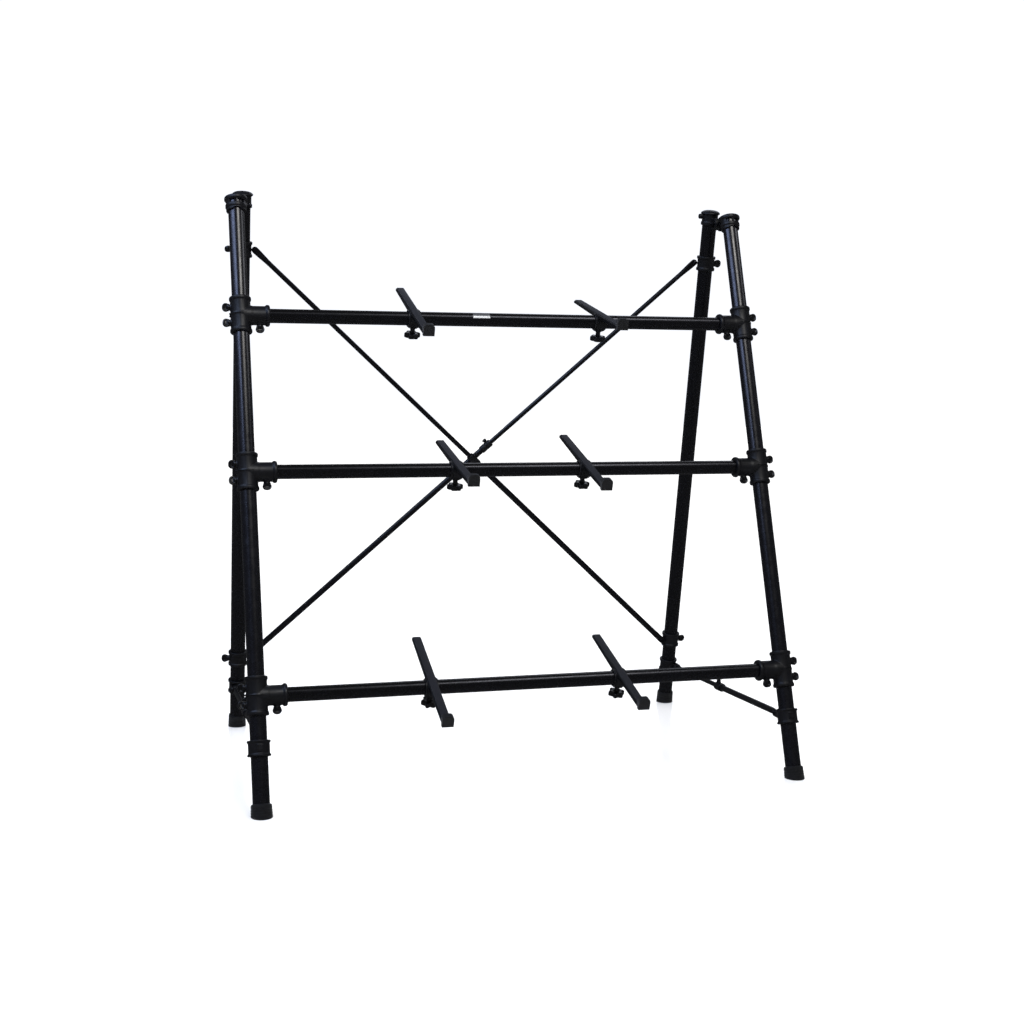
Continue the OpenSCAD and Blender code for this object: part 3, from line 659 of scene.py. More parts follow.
def channel_ring(y):
    half, low = half_width(y, ARM_HALF), PAD_Z - flange_depth(y)
    ring = [(-half, y, low)]
    for side in (-1, 1):
        for k in range(5):
            a = math.radians(90 * k / 4)
            across, up = (math.cos(a), math.sin(a)) if side < 0 else (math.sin(a), math.cos(a))
            ring.append((side * (half - BEND_R + BEND_R * across), y,
                         PAD_Z - BEND_R + BEND_R * up))
    inner = half - SHEET
    return ring + [(half, y, low), (inner, y, low), (inner, y, PAD_Z - SHEET),
                   (-inner, y, PAD_Z - SHEET), (-inner, y, low)]


stations = [ARM_FRONT + STOP_T, -90, -30, 0, 30, 90, ARM_REAR - CORNER_R]
stations += [ARM_REAR - CORNER_R * (1 - math.sin(math.radians(15 * k))) for k in range(1, 6)]
channel = as_mesh(loft([channel_ring(y) for y in stations]))
hoop = moved(turned([(SADDLE_OUT_R, -SADDLE_HALF), (SADDLE_OUT_R, SADDLE_HALF)]), Z_TO_X)
cut_corner = SADDLE_HALF - 4.5
block = moved(slab([(-SADDLE_HALF, -8), (-SADDLE_HALF, 4.5 - SADDLE_LOW),
                    (-cut_corner, -SADDLE_LOW), (cut_corner, -SADDLE_LOW),
                    (SADDLE_HALF, 4.5 - SADDLE_LOW), (SADDLE_HALF, -8)], -11, 11),
              Matrix.Rotation(math.radians(90), 4, "X"))
boss = rod(8.0, -NUT_Z, -NUT_Z + 5)
saddle = moulded([hoop, block, boss], voxel=0.5, softness=4, faces=5000, cutters=[
    box((-30, -30, PAD_Z - 0.6), (30, 30, 30)),
    moved(rod(SADDLE_R, -30, 30), Z_TO_X), rod(4.05, -40, -10)])
arm_mesh = together(channel, saddle)
print("arm faces:", len(arm_mesh.polygons))

# %% [markdown]
# ## Rubber strip and stop
# The strip is sheet rubber with a small round on its edges, and the stop is a fat rubber block
# pushed over the channel's front end, with a domed top that keeps an instrument from sliding off.

# %% Strip and stop
STRIP_T, STOP_HALF, STOP_UP, STOP_DOWN, DOME_R = 2.0, 12.0, 16.0, 7.0, 8.0
strip = bevelled([slab(rounded([(-9.8, ARM_FRONT + STOP_T), (9.8, ARM_FRONT + STOP_T),
                                (9.8, ARM_REAR - 1), (-9.8, ARM_REAR - 1)], CORNER_R),
                       PAD_Z, PAD_Z + STRIP_T)], width=0.4)
stop_low, stop_high = PAD_Z - STOP_DOWN, PAD_Z + STRIP_T + STOP_UP


def stop_outline(low):
    """Front view of the stop from a height up: straight sides under a domed top."""
    outline = [(-STOP_HALF, low), (STOP_HALF, low)]
    for side in (1, -1):
        for k in range(9):
            a = math.radians(90 * (k if side > 0 else 8 - k) / 8)
            outline.append((side * (STOP_HALF - DOME_R + DOME_R * math.cos(a)),
                            stop_high - DOME_R + DOME_R * math.sin(a)))
    return outline


face_on = Matrix.Rotation(math.radians(90), 4, "X")
front_block = moved(slab(stop_outline(stop_low), -ARM_FRONT - STOP_T, -ARM_FRONT), face_on)
lip = moved(slab(stop_outline(PAD_Z + 0.4), -ARM_FRONT - STOP_T - 4, -ARM_FRONT - 4), face_on)
stop = moulded([front_block, lip], voxel=0.5, softness=5, faces=2400)
print("strip and stop faces:", len(strip.polygons), len(stop.polygons))

# %% [markdown]
# ## Star knob
# A six-lobed knob clamps each arm. Its outline is a circle whose radius swells six times in a
# turn, and the loft shrinks the same outline towards both faces to round the rim. A raised cap
# closes it below, and a thick neck and the threaded stud rise from it.

# %% Star knob
STAR_LOW, STAR_HIGH, STAR_R, LOBE = -43.0, -31.0, 15.0, 2.8


def star_ring(inset, z, steps=72):
    ring = []
    for k in range(steps):
        a = 2 * math.pi * k / steps
        swell = LOBE * max(0.0, 1 - inset / 9)
        r = STAR_R - inset + swell * math.cos(6 * a)
        ring.append((r * math.cos(a), r * math.sin(a), z))
    return ring


rim = [(9.0, 0.9), (7.5, 0.3), (4.6, 0.0), (2.6, 0.15), (1.2, 0.8), (0.35, 1.8), (0.0, 3.2)]
star = loft([star_ring(i, STAR_LOW + d) for i, d in rim]
            + [star_ring(i, STAR_HIGH - d) for i, d in reversed(rim)])
cap = turned([(4.0, -45.0), (7.4, -44.7), (8.6, -44.0), (9.2, -42.8), (9.2, -42)], 48)
neck = turned([(7.6, -32.4), (7.2, -31.0), (5.6, -30.2), (5.25, -29), (5.25, -22.6),
               (4.8, -21.9)], 40)
star_mesh = together(as_mesh(star), as_mesh(cap), as_mesh(neck), as_mesh(rod(4.0, -36, -17.2, 0.6)))
print("star knob faces:", len(star_mesh.polygons))

# %% [markdown]
# ## Bar liner
# A split nylon bush lets the saddle slide and tilt on the painted bar without scratching it. It
# is one profile swept nearly all the way round, which leaves the slit that makes it springy.

# %% Liner, and all six arms in place
LINER_IN, LINER_R = BAR_R + 0.05, 16.8
half_liner = [(LINER_R, 11.5), (18.0, 11.5), (18.3, 11.8), (18.3, 13.0), (18.0, 13.3),
              (LINER_R, 13.3), (LINER_IN + 0.3, 13.3), (LINER_IN, 13.0)]
liner_profile = half_liner + [(r, -z) for r, z in reversed(half_liner)]
liner = as_mesh(moved(arc_sweep(liner_profile, 4, 356, 56), Z_TO_X))

for tier in TIERS:
    for hand in SIDES:
        tag = f"{tier}_{hand}"
        centre = joints[tag + "_arm_tilt"]["pos_m"]
        place = axes(centre, joints[tag + "_knob_turn"]["axis"])
        put("bar_liner_" + tag, liner, axes(centre, (0, 0, 1)), tag + "_slider",
            "liner_" + tag, "liner_nylon")
        put("cradle_arm_" + tag, arm_mesh, place, tag + "_arm", "arm_" + tag, "arm_paint")
        put("cradle_strip_" + tag, strip, place, tag + "_arm", "pad_" + tag, "pad_rubber")
        put("cradle_stop_" + tag, stop, place, tag + "_arm", "pad_" + tag, "foot_rubber")
        put("clamp_star_" + tag, star_mesh, place, tag + "_knob", "star_knob_" + tag,
            "knob_plastic")
print("arms placed; pieces so far:", len(made))

# %% [markdown]
# ## Top hinge
# Each side folds at a bolt that joins two caps. The front cap is a hoop with two raised rims and
# a dark slot between them, a cheek that reaches back, and an arch cut in its front. The rear cap
# is a plainer cup with a domed lid. The cheeks stand upright in the stand's own axes while the
# cups lean with the legs, so the cheek is carried into the cup's frame before both are melted.

# %% Front and rear hinge caps
hinge = Vector(joints["frame_fold"]["pos_m"])
CHEEK_T, LAP_GAP, BOLT_R = 15.0, 0.2, 4.0
FRONT_CHEEK_R, REAR_CHEEK_R, CHEEK_ROOM, LID = 16.5, 13.5, 1.0, 4.5


def into(place, origin):
    """Matrix from upright axes at a point to a part's own frame, for solids in millimetres."""
    return TO_MM @ place.inverted() @ Matrix.Translation(origin) @ FROM_MM


def cheek(radius, reach, thick, x=0.0):
    """Upright lug of even thickness from the leg's axis to a pivot at reach along Y."""
    lug = box((x - thick / 2, min(0, reach), -radius), (x + thick / 2, max(0, reach), radius))
    eye = moved(rod(radius, x - thick / 2, x + thick / 2), shift(y=reach), Z_TO_X)
    return [lug, eye]


def cheek_room(radius, reach, x0, x1):
    """Space that the other cap's cheek needs at every angle of the fold."""
    return moved(rod(radius + CHEEK_ROOM, x0, x1), shift(y=reach), Z_TO_X)


front_cap_place = on_front_leg(hinge.z)
front_axis_y = front_cap_place.translation.y
front_top = measure("front_leg_right", front_cap_place)[1].z + LID
front_cap_at = into(front_cap_place, (lap_x, front_axis_y, hinge.z))
front_reach = (hinge.y - front_axis_y) / MM
front_cup = turned([(20.6, -17), (21.2, -15.5), (21.0, -10.4), (21.6, -9.6), (22.5, -8.6),
                    (22.5, -2.8), (21.8, -2.0), (21.0, -1.6), (21.0, 6.2), (22.0, 6.8),
                    (24.2, 8.0), (24.5, 9.4), (24.5, front_top - 4.2), (23.6, front_top - 2.4),
                    (20.5, front_top - 0.8), (12, front_top)])
front_lug = [moved(s, front_cap_at) for s in
             cheek(FRONT_CHEEK_R, front_reach, CHEEK_T, LAP_GAP + CHEEK_T / 2)]
window_ring = [(15.0, -1.8), (15.0, 6.2), (30, 6.2), (30, -1.8)]
windows = [arc_sweep(window_ring, start, start + 42, 12) for start in (-136, -86)]
bolt_hole = moved(rod(BOLT_R + 0.05, -60, 60), front_cap_at, shift(y=front_reach), Z_TO_X)
front_cap = moulded(
    [front_cup, *front_lug], voxel=0.6, softness=3, faces=9000,
    cutters=[rod(LEG_R + 0.02, -60, front_top - 4.5), *windows,
             moved(rod(16, 10, 40), shift(z=-28), Z_TO_Y.inverted()), bolt_hole,
             moved(cheek_room(REAR_CHEEK_R, front_reach, -CHEEK_T - 3, LAP_GAP), front_cap_at)])

rear_cap_place = on_rear_leg(hinge.z)
rear_axis_y = rear_cap_place.translation.y
rear_top = measure("rear_hinge_caps", rear_cap_place)[1].z
rear_cap_at = into(rear_cap_place, (lap_x, rear_axis_y, hinge.z))
rear_reach = (hinge.y - rear_axis_y) / MM
rear_cup = turned([(19.8, 0), (20.5, 0.8), (20.5, 7.2), (19.6, 8.2), (18.8, 9.2),
                   (18.7, rear_top - 12), (19.8, rear_top - 10.6), (21.9, rear_top - 9.4),
                   (22.5, rear_top - 8.4), (22.5, rear_top - 6.8), (21.4, rear_top - 5.2),
                   (18.0, rear_top - 2.8), (13, rear_top - 1.1), (7, rear_top - 0.2),
                   (3, rear_top)])
rear_lug = [moved(s, rear_cap_at) for s in
            cheek(REAR_CHEEK_R, rear_reach, CHEEK_T, -LAP_GAP - CHEEK_T / 2)]
nub = turned([(4.6, -28.5), (5.6, -27.9), (6.0, -26.8), (6.0, -14)], 32)
rear_bolt_hole = moved(rod(BOLT_R + 0.05, -60, 60), rear_cap_at, shift(y=rear_reach), Z_TO_X)
for hand, side in SIDES.items():
    # The nub is on the same hand of both caps, so it turns half round before one is mirrored
    turn = Matrix.Rotation(math.pi if side is SIDES["left"] else 0, 4, "Z")
    rear_cap = moulded(
        [rear_cup, *rear_lug, moved(nub, turn @ shift(z=20) @ Z_TO_X)], voxel=0.6, softness=4,
        faces=9000, cutters=[
            rod(LEG_R + 0.02, -60, rear_top - 4.6), rear_bolt_hole,
            moved(cheek_room(FRONT_CHEEK_R, rear_reach, -LAP_GAP, CHEEK_T + 3), rear_cap_at)])
    put("front_cap_" + hand, front_cap, side @ front_cap_place, "front_frame",
        "front_hinge_caps", "fitting_plastic")
    put("rear_cap_" + hand, rear_cap, side @ rear_cap_place, "rear_frame",
        "rear_hinge_caps", "fitting_plastic")
print("hinge caps:", len(front_cap.polygons), len(rear_cap.polygons), "faces")

# %% [markdown]
# ## Bolts, nuts and rivets
# The hinge bolt has a low domed head with a hexagon socket, and a nut with chamfered corners.
# A hexagon is a turned solid with six sides; the chamfer is that same solid cut to a cone, which
# here is simply a smaller ring at both ends. Pins and rivets are turned with domed heads.

# %% Fasteners
bolt_x, nut_x = LAP_GAP + CHEEK_T, -LAP_GAP - CHEEK_T - 0.4
dome = turned([(8.4, bolt_x), (8.5, bolt_x + 0.8), (7.8, bolt_x + 2.8), (5.8, bolt_x + 5.0),
               (4.2, bolt_x + 6.0)], 48)
nut = turned([(6.4, nut_x - 6.5), (7.5, nut_x - 5.7), (7.5, nut_x - 1.6)], 6)
washer = rod(8.2, nut_x - 1.5, nut_x, 0.3)
ridges = [(BOLT_R - 0.35 * (k % 2), nut_x - 9 + 0.5 * k) for k in range(8)]
shank = turned([(3.2, nut_x - 9.6), *ridges, (BOLT_R, nut_x - 4), (BOLT_R, bolt_x + 2)], 32)
socket = turned([(2.9, bolt_x + 3.2), (2.9, bolt_x + 8)], 6)
bolt = worked(together(cut(as_mesh(dome), socket), as_mesh(nut), as_mesh(washer), as_mesh(shank)),
              ("BEVEL", {"width": 0.25, "segments": 2, "limit_method": "ANGLE",
                         "angle_limit": math.radians(30)}))
pin_head = [(4.5, 7.4), (4.5, 8.2), (3.9, 9.3), (2.6, 9.9)]
pin = as_mesh(turned([(r, -x) for r, x in reversed(pin_head)] + [(2.45, -7.4), (2.45, 7.4)]
                     + pin_head, 32))
rivet = as_mesh(turned([(2.4, -4.6), (3.9, -4.3), (4.5, -3.6), (4.5, -2.6), (2.45, -2.5),
                        (2.45, 9), (4.5, 9), (4.5, 9.7), (3.6, 10.4)], 32))
front_pivot = Vector(joints["spreader_right_swing"]["pos_m"])
upright = Matrix.Translation((lap_x, hinge.y, hinge.z)) @ Z_TO_X
for hand, side in SIDES.items():
    put("hinge_bolt_" + hand, bolt, side @ upright, "front_frame", "pivot_bolts",
        "fastener_steel")
    put("strut_front_pin_" + hand, pin, side @ Matrix.Translation(front_pivot) @ Z_TO_X,
        "front_frame", "pivot_bolts", "fastener_steel")
print("hinge bolts and front pins placed")

# %% [markdown]
# ## Side struts
# Low on each side a telescopic strut keeps the legs apart. A collar on the front leg and a clamp
# on the rear one each carry a fork. The outer tube is pressed flat at its pivot, and the loft
# goes from a thin oval to a circle along the way. The inner rod ends in an eye, and a moulded
# lock with a thumb screw sits where the two meet.

# %% Forks on the legs
FORK_EAR, FORK_GAP = 4.0, 6.8


def on_leg_at(leg_frame, node, half_height):
    """Frame of a sleeve on a leg, found from the lowest point of its CAD node."""
    low = measure(node, leg_frame(0))[0].z
    direction = leg_frame(0).to_3x3() @ Vector((0, 0, 1))
    return leg_frame((low + half_height) * MM * direction.z)


def fork(radius, reach):
    """Two ears that straddle a strut's end."""
    offset = (FORK_GAP + FORK_EAR) / 2
    return [s for x in (-offset, offset) for s in cheek(radius, reach, FORK_EAR, x)]


strut_up = Vector(joints["spreader_right_lock_screw"]["axis"])
strut = axes(front_pivot, strut_up)
EYE_R = 10.0
strut_length = measure("spreader_inner_right", strut)[1].y - EYE_R
outer_length = measure("spreader_outer_right", strut)[1].y
rear_pivot = strut @ Vector((0, strut_length * MM, 0))

collar_place = on_leg_at(on_front_leg, "spreader_front_collars", 15.5)
collar_at = into(collar_place, (lap_x, collar_place.translation.y, front_pivot.z))
collar_reach = (front_pivot.y - collar_place.translation.y) / MM
collar_sleeve = turned([(22.9, -15.5), (23.5, -14.8), (23.5, -12.2), (22.2, -10.6), (21.5, -10),
                        (21.5, 10), (22.2, 10.6), (23.5, 12.2), (23.5, 14.8), (22.9, 15.5)])
clamp_box = slab(rounded([(-8, -25.2), (8, -25.2), (8, -13), (-8, -13)], 3), -7, 7)
slots = [box((x, -27, z), (x + 6.6, -21.6, z + 2.4)) for x in (-7.6, 1.0) for z in (-4.8, 2.4)]
front_collar = moulded([collar_sleeve, clamp_box, *[moved(s, collar_at) for s in
                                                    fork(8.0, collar_reach)]],
                       voxel=0.55, softness=3, faces=8000,
                       cutters=[rod(LEG_R + 0.02, -60, 60), *slots,
                                moved(rod(2.55, -30, 30), collar_at, shift(y=collar_reach),
                                      Z_TO_X)])

clamp_place = on_leg_at(on_rear_leg, "spreader_rear_clamps", 15.5)
clamp_at = into(clamp_place, (lap_x, clamp_place.translation.y, rear_pivot.z))
clamp_reach = (rear_pivot.y - clamp_place.translation.y) / MM
clamp_sleeve = turned([(21.4, -15.5), (22.0, -14.7), (22.0, -10.6), (21.2, -9.6), (19.8, -8.6),
                       (19.8, 8.6), (21.2, 9.6), (22.0, 10.6), (22.0, 14.7), (21.4, 15.5)])
rear_clamp = moulded([clamp_sleeve, *[moved(s, clamp_at) for s in fork(7.0, clamp_reach)]],
                     voxel=0.55, softness=3, faces=7000,
                     cutters=[rod(LEG_R + 0.02, -60, 60),
                              moved(rod(2.55, -30, 30), clamp_at, shift(y=clamp_reach), Z_TO_X)])
print("strut length", round(strut_length, 1), "mm, outer tube", round(outer_length, 1), "mm")

# %% Struts
def oval_ring(along, half_x, half_z, power, steps=40):
    """Ring round the Y axis that goes from boxy (power 5) to round (power 2)."""
    ring = []
    for k in range(steps):
        c, s = math.cos(2 * math.pi * k / steps), math.sin(2 * math.pi * k / steps)
        ring.append((half_x * math.copysign(abs(c) ** (2 / power), c), along,
                     half_z * math.copysign(abs(s) ** (2 / power), s)))
    return ring


def pressed_end(flat_half, wide_half, radius, flat_length, tip_radius):
    """Rings from a rounded flat tip to the full round, for a tube pressed at its end."""
    rings = []
    for a in range(80, -1, -16):
        rings.append(oval_ring(-tip_radius * math.sin(math.radians(a)), flat_half,
                               wide_half * math.cos(math.radians(a)), 4.5))
    for k in range(1, 9):
        t = k / 8
        ease = t * t * (3 - 2 * t)
        rings.append(oval_ring(flat_length * t, flat_half + (radius - flat_half) * ease,
                               wide_half + (radius - wide_half) * ease, 4.5 - 2.5 * ease))
    return rings


OUTER_R, INNER_R, OVERLAP, LOCK_AT = 7.0, 5.5, 42.0, 7.0
BORE_FROM = 35.0  # deep enough for the inner rod when the stand is folded
outer_rings = pressed_end(3.0, 5.5, OUTER_R, 34, 5.5)
outer_rings += [oval_ring(y, OUTER_R, OUTER_R, 2) for y in (60, outer_length)]
strut_outer = cut(as_mesh(loft(outer_rings)),
                  moved(rod(INNER_R + 0.05, BORE_FROM, outer_length + 5), Z_TO_Y),
                  moved(rod(2.55, -20, 20), Z_TO_X))
neck_rings = [oval_ring(strut_length - EYE_R + 2, 3.0, 5.6, 4.5),
              oval_ring(strut_length - 15, 3.2, 5.5, 4), oval_ring(strut_length - 26, 4.4, 5.5, 3),
              oval_ring(strut_length - 38, INNER_R, INNER_R, 2),
              oval_ring(outer_length - OVERLAP, INNER_R, INNER_R, 2)]
eye = moved(turned([(9.5, -3.0), (EYE_R, -2.4), (EYE_R, 2.4), (9.5, 3.0)], 48),
            shift(y=strut_length), Z_TO_X)
strut_inner = together(cut(as_mesh(loft(neck_rings))),
                       cut(as_mesh(eye), moved(rod(6.5, -20, 20), shift(y=strut_length), Z_TO_X)))
lock_barrel = moved(turned([(9.0, -14), (10.0, -13), (10.0, -1.2), (9.5, -0.6), (9.5, 0.2),
                            (10.0, 0.8), (10.0, 15), (9.0, 16)], 48), Z_TO_Y)
lock_boss = moved(turned([(5.6, 0), (5.0, 13.4), (4.4, 15)], 32), shift(y=LOCK_AT))
strut_lock = moulded([lock_barrel, lock_boss], voxel=0.45, softness=3, faces=4000, cutters=[
    moved(rod(OUTER_R, -30, 0), Z_TO_Y), moved(rod(INNER_R + 0.3, -2, 40), Z_TO_Y),
    moved(rod(3.05, 7, 30), shift(y=LOCK_AT))])
for hand, side in SIDES.items():
    body = f"spreader_{hand}_"
    place = side @ strut
    lock_place = at(place, 0, outer_length, 0)
    put("strut_collar_" + hand, front_collar, side @ collar_place, "front_frame",
        "spreader_front_collars", "fitting_plastic")
    put("strut_clamp_" + hand, rear_clamp, side @ clamp_place, "rear_frame",
        "spreader_rear_clamps", "fitting_plastic")
    put("strut_outer_" + hand, strut_outer, place, body + "outer", "spreader_outer_" + hand,
        "arm_paint")
    put("strut_inner_" + hand, strut_inner, place, body + "inner", "spreader_inner_" + hand,
        "arm_paint")
    put("strut_lock_" + hand, strut_lock, lock_place, body + "outer", "spreader_lock_" + hand,
        "fitting_plastic")
    put_thumb_knob("strut_screw_" + hand, at(lock_place, 0, LOCK_AT, 16.3), body + "screw",
                   "spreader_screw_" + hand, 10.3)
    put("strut_rear_pin_" + hand, pin, side @ Matrix.Translation(rear_pivot) @ Z_TO_X,
        "rear_frame", "rear_pivot_pins", "fastener_steel")
print("struts placed; pieces so far:", len(made))

# %% [markdown]
# ## Crossed braces
# Two telescopic rods cross behind the stand in the plane of the rear legs, one in front of that
# plane and one behind it. Each is a thick tube and a thin rod with a collar where they meet, and
# their ends are pressed flat round a rivet. The same pressed end as on the struts serves here.

# %% Brace clamps and their screws
CLAMP_HALF, PIN_REACH, ROD_OFFSET, FLAT_R = 17.0, 27.0, 8.5, 7.5
plane = on_rear_leg(0)
plane.translation.x = 0
clamps_low, clamps_high = measure("brace_clamps", plane)
levels = {"lower": clamps_low.z + CLAMP_HALF, "upper": clamps_high.z - CLAMP_HALF}
rear_x = rear_floor.x / MM
clamp_body = turned([(21.4, -17), (22.0, -16.2), (22.0, -11.4), (21.2, -10.2), (20.0, -9.4),
                     (20.0, 9.4), (21.2, 10.2), (22.0, 11.4), (22.0, 16.2), (21.4, 17)])
outer_boss = moved(turned([(7.2, 14), (6.8, 22), (6.5, SCREW_OUT)], 32), Z_TO_X)


def brace_clamp(rod_side):
    """Clamp whose ear carries a rod in front of (-1) or behind (1) the legs' plane."""
    ear = moved(slab(rounded([(-35, -8), (-12, -8), (-12, 8), (-35, 8)], 7.0), 0, 5.5),
                Matrix.Scale(rod_side, 4, (0, 1, 0)), Matrix.Rotation(math.radians(90), 4, "X"),
                Matrix.Scale(-1, 4, (0, 0, 1)))
    return moulded([clamp_body, ear, outer_boss], voxel=0.55, softness=4, faces=6000, cutters=[
        rod(LEG_R + 0.02, -60, 60), moved(rod(2.55, -20, 20), shift(x=-PIN_REACH), Z_TO_Y),
        moved(rod(3.05, 15, 40), Z_TO_X)])


clamp_kinds = {-1: brace_clamp(-1), 1: brace_clamp(1)}
CLAMPS = [("left", "upper", -1, 50), ("right", "lower", -1, 20), ("right", "upper", 1, 5),
          ("left", "lower", 1, -15)]
for hand, level, rod_side, turn in CLAMPS:
    place = SIDES[hand] @ at(plane, rear_x, 0, levels[level])
    tag = f"{level}_{hand}"
    put("brace_clamp_" + tag, clamp_kinds[rod_side], place, "rear_frame", "brace_clamps",
        "fitting_plastic")
    screw = at(place, SCREW_OUT) @ Z_TO_X @ Matrix.Rotation(math.radians(turn), 4, "Z")
    put_thumb_knob("brace_screw_" + tag, screw, "rear_frame", "brace_clamp_knobs",
                   SCREW_OUT - LEG_R - 0.4)
print("brace levels along the leg:", {k: round(v, 1) for k, v in levels.items()})

# %% Brace rods, collars and rivets
BRACE_OVERLAP, FLAT_LENGTH = 60.0, 46.0
pin_x = rear_x - PIN_REACH
rise = levels["upper"] - levels["lower"]
brace_length = math.hypot(2 * pin_x, rise)
brace_angle = math.atan2(rise, 2 * pin_x)
LENGTHWISE = Matrix.Rotation(math.radians(-90), 4, "Z")
collar = moulded(
    [moved(turned([(8.2, -16), (9.0, -14.6), (9.0, -1.4), (8.4, -0.6), (8.4, 0.6), (9.0, 1.4),
                   (9.0, 12.6), (8.2, 14)], 48), Z_TO_X),
     moved(turned([(4.6, 0), (4.0, 12.6), (5.2, 13.2), (5.5, 14.4), (4.6, 16)], 32), shift(x=-7))],
    voxel=0.45, softness=3, faces=4000,
    cutters=[moved(rod(INNER_R + 0.05, -30, 30), Z_TO_X), moved(rod(OUTER_R, 0, 30), Z_TO_X)])
for k, letter in enumerate("ab"):
    mirror = MIRROR if k else Matrix.Identity(4)
    offset = ROD_OFFSET if k else -ROD_OFFSET
    brace = at(plane @ mirror, -pin_x, offset, levels["upper"])
    brace = brace @ Matrix.Rotation(brace_angle, 4, "Y")
    in_brace = measure("brace_outer_" + letter, brace)
    meet = in_brace[0].x
    thin = pressed_end(2.5, FLAT_R, INNER_R, FLAT_LENGTH, FLAT_R)
    thin += [oval_ring(y, INNER_R, INNER_R, 2) for y in (120, meet + BRACE_OVERLAP)]
    thick = pressed_end(2.5, FLAT_R, OUTER_R, FLAT_LENGTH, FLAT_R)
    thick += [oval_ring(y, OUTER_R, OUTER_R, 2) for y in (120, brace_length - meet)]
    inner_mesh = as_mesh(moved(loft(thin), LENGTHWISE))
    outer_mesh = cut(as_mesh(moved(loft(thick), shift(x=brace_length), MIRROR, LENGTHWISE)),
                     moved(rod(INNER_R + 0.05, meet - 1, meet + BRACE_OVERLAP + 4), Z_TO_X))
    put("brace_rod_" + letter, inner_mesh, brace, "rear_frame", "brace_inner_" + letter,
        "tube_paint")
    put("brace_tube_" + letter, outer_mesh, brace, "rear_frame", "brace_outer_" + letter,
        "tube_paint")
    put("brace_collar_" + letter, collar, at(brace, meet), "rear_frame", "brace_collars",
        "fitting_plastic")
    flip = Matrix.Scale(-1, 4, (0, 1, 0)) if k else Matrix.Identity(4)
    for word, x in (("upper", 0), ("lower", brace_length)):
        put(f"brace_rivet_{word}_{letter}", rivet, at(brace, x) @ flip @ Z_TO_Y, "rear_frame",
            "rear_pivot_pins", "fastener_steel")
print("brace length", round(brace_length, 1), "mm; pieces so far:", len(made))

# %% [markdown]
# ## Feet
# Rubber ferrules close the tubes and grip the floor. They are moulded with three grip rings and
# then ground level with the floor, so the leaning profile is turned and its lower part cut away
# by a block that lies under the floor in the stand's own axes.

# %% Feet
def ferrule(radius, reach):
    """Profile of a foot: straight below, three grip rings, then a rounded lip on the tube."""
    profile = [(radius, -20), (radius, 3)]
    step = (reach - 8) / 3
    for k in range(3):
        z, r = 3.5 + k * step, radius - 0.15 - 0.2 * k
        profile += [(r - 0.5, z), (r - 0.5, z + 1.2), (r, z + 1.8), (r, z + step - 0.4)]
    return turned(profile + [(radius - 0.9, reach - 2.4), (radius - 1.4, reach - 0.9),
                             (radius - 2.6, reach)])


for word, leg_frame in (("front", on_front_leg), ("rear", on_rear_leg)):
    place = leg_frame(0)
    low, high = measure(word + "_feet", place)
    wide = (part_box(word + "_feet")[1].x / MM - place.translation.x / MM)
    below = moved(box((-60, -60, -80), (60, 60, 0)), into(place, place.translation))
    foot = cut(as_mesh(ferrule(wide, high.z)), below, rod(LEG_R + 0.02, 10, 60))
    foot = worked(foot, ("BEVEL", {"width": 0.8, "segments": 3, "limit_method": "ANGLE",
                                   "angle_limit": math.radians(50)}))
    for hand, side in SIDES.items():
        put(f"{word}_foot_{hand}", foot, side @ place, word + "_frame", word + "_feet",
            "foot_rubber")
print("feet placed; pieces in all:", len(made))

# %% [markdown]
# ## Blank label
# The top bar carries a small silver label. It stays blank here: foil a tenth of a millimetre
# thick, wrapped round the bar, so it is a short arc swept about the bar's axis.

# %% Blank label
LABEL_AT, LABEL_WIDE, LABEL_FROM, LABEL_TO = -52.0, 38.0, 206.0, 258.0
top_bar = axes(joints["top_left_arm_tilt"]["pos_m"], (0, 0, 1))
top_bar.translation.x = 0
label_profile = [(BAR_R - 0.05, -LABEL_WIDE / 2), (BAR_R + 0.12, -LABEL_WIDE / 2),
                 (BAR_R + 0.12, LABEL_WIDE / 2), (BAR_R - 0.05, LABEL_WIDE / 2)]
label = as_mesh(moved(arc_sweep(label_profile, LABEL_FROM, LABEL_TO, 16), Z_TO_X))
label_piece = put("blank_label", label, at(top_bar, LABEL_AT), "tier_top", None, "fastener_steel")
label_piece.data.materials[0] = label_foil
print("label", LABEL_WIDE, "mm wide")

# %% [markdown]
# ## Floor, light and camera
# Black paint is seen only by what it mirrors. So the room is a dim grey for the reflections, while
# the camera sees it white, and soft boxes make the bands. Each kind of part has its own boxes,
# linked to it alone, as a studio flags its lights: a long cool panel on the left, a warm bank in
# front and an edge light on the right for the front legs, an overhead strip and a small bank for
# the crossbars, and two broad boxes for the fittings. The floor is pale gloss laminate, with a
# soft sun that brings it up to paper white and a wall of light far behind the stand to mirror.

# %% Floor and room
floor_mesh = as_mesh(slab([(-40, -30), (40, -30), (40, 12), (-40, 12)], -0.02, 0))
floor = bpy.data.objects.new("floor", floor_mesh)
bpy.context.scene.collection.objects.link(floor)
floor_paint, floor_tree, floor_place = new_material("pale_gloss_laminate")
mottle = add(floor_tree, "ShaderNodeTexNoise", {"Scale": 3.0, "Detail": 4.0},
             {"Vector": floor_place})
floor_shader = add(floor_tree, "ShaderNodeBsdfPrincipled", {"IOR": 1.35}, {
    "Base Color": mixed(floor_tree, mottle.outputs["Fac"], "#f4f4f5", "#f8f8f8"),
    "Roughness": spread(floor_tree, mottle.outputs["Fac"], 0.3, 0.7, 0.08, 0.14)})
surface(floor_tree, floor_shader)
floor.data.materials.append(floor_paint)
floor.visible_glossy = False

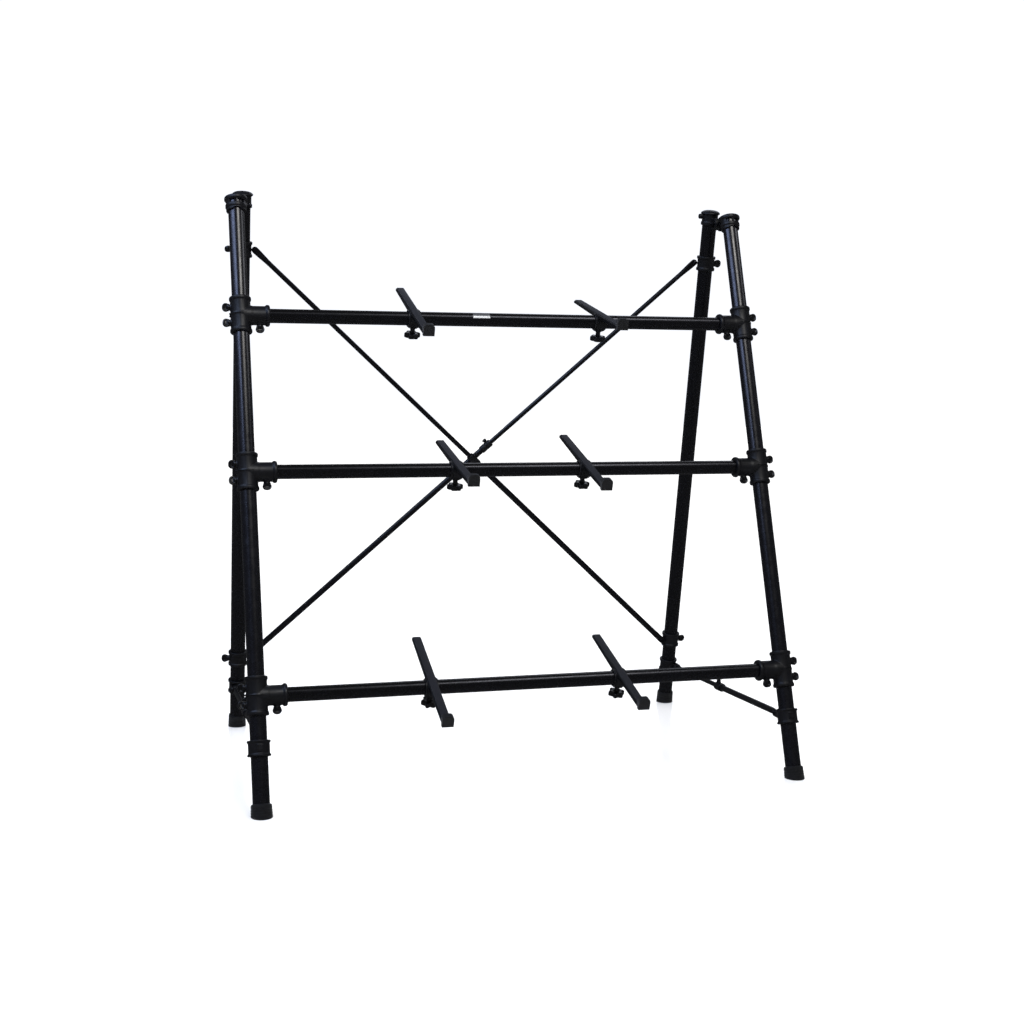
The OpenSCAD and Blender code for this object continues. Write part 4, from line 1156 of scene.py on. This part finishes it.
world = bpy.data.worlds.new("studio")
world.use_nodes = True
bpy.context.scene.world = world
room = world.node_tree
room.nodes.clear()
seen = add(room, "ShaderNodeLightPath")
level = spread(room, seen.outputs["Is Camera Ray"], 0, 1, 0.08, 1.1)
glow = add(room, "ShaderNodeBackground", {"Color": (0.93, 0.95, 1, 1)}, {"Strength": level})
add(room, "ShaderNodeOutputWorld", links={"Surface": glow.outputs["Background"]})
bpy.context.scene.view_settings.view_transform = "Standard"
print("floor and room ready")

# %% Soft boxes
middle = (cad_low + cad_high) / 2


def soft_box(name, azimuth, elevation, distance, width, height, radiance, colour):
    """Area light that faces the stand's middle; its power follows from the radiance wanted."""
    a, e = math.radians(azimuth), math.radians(elevation)
    back = Vector((math.sin(a) * math.cos(e), -math.cos(a) * math.cos(e), math.sin(e)))
    lamp = bpy.data.lights.new(name, "AREA")
    lamp.shape = "RECTANGLE"
    lamp.size, lamp.size_y = width, height
    lamp.energy = radiance * math.pi * width * height
    lamp.color = linear(colour)[:3]
    stand = bpy.data.objects.new(name, lamp)
    bpy.context.scene.collection.objects.link(stand)
    stand.location = middle + back * distance
    stand.rotation_euler = (-back).to_track_quat("-Z", "Y").to_euler()
    return stand


def lit(name, things, *lamps):
    """Link lamps to the listed things alone."""
    receivers = bpy.data.collections.new(name)
    for thing in things:
        receivers.objects.link(thing)
    for lamp in lamps:
        lamp.light_linking.receiver_collection = receivers


tubes = {name: frame["nodes"][name] for name in TUBES}
lit("lit_front_legs", [tubes[name] for name in TUBES if name.startswith("front")],
    soft_box("leg_panel_cool", -77, 37.5, 3.7, 3.4, 0.8, 8.5, "#b9ccff"),
    soft_box("leg_bank_warm", 12, 49, 4.2, 1.5, 0.9, 15.0, "#fffdfa"),
    soft_box("leg_edge", 84, 36, 3.7, 1.2, 0.9, 3.6, "#f4f6ff"))
lit("lit_crossbars", [tubes[name] for name in TUBES if name.startswith("crossbar")],
    soft_box("crossbar_strip", -16, 59, 3.4, 5.0, 0.6, 0.5, "#eef2ff"),
    soft_box("crossbar_bank", 37, 57.5, 3.7, 1.2, 0.6, 9.0, "#f4f4ff"))
lit("lit_other_parts", [*made, *(tubes[name] for name in TUBES if name.startswith("rear")), floor],
    soft_box("cool_left", -72, 50, 3.0, 3.0, 1.2, 2.9, "#bdd3ff"),
    soft_box("overhead_bank", 9, 50, 4.7, 1.9, 1.3, 6.0, "#fbf9f6"))
soft_box("back_edge", 150, 35, 3.5, 2.5, 1.5, 1.0, "#eef2ff")
floor_sun = bpy.data.objects.new("floor_sun", bpy.data.lights.new("floor_sun", "SUN"))
bpy.context.scene.collection.objects.link(floor_sun)
floor_sun.data.energy, floor_sun.data.angle = 3.6, math.radians(150)
lit("lit_floor", [floor], floor_sun,
    soft_box("floor_wall", 164, 12, 14.0, 60.0, 14.0, 1.0, "#ffffff"))

# %% [markdown]
# The camera stands at eye height for somebody kneeling, a little left of the stand and looking
# slightly down, with a short telephoto lens.

# %% Camera
EYE, YAW, PITCH, ROLL, LENS = Vector((-0.889, -3.151, 0.932)), 16.07, -6.65, 0.85, 52.4
forward = Vector((math.sin(math.radians(YAW)) * math.cos(math.radians(PITCH)),
                  math.cos(math.radians(YAW)) * math.cos(math.radians(PITCH)),
                  math.sin(math.radians(PITCH))))
camera = bpy.data.objects.new("camera", bpy.data.cameras.new("camera"))
bpy.context.scene.collection.objects.link(camera)
camera.data.lens, camera.data.sensor_width = LENS, 36
camera.location = EYE
level_gaze = forward.to_track_quat("-Z", "Y").to_matrix()
camera.rotation_euler = (level_gaze @ Matrix.Rotation(math.radians(ROLL), 3, "Z")).to_euler()
bpy.context.scene.camera = camera
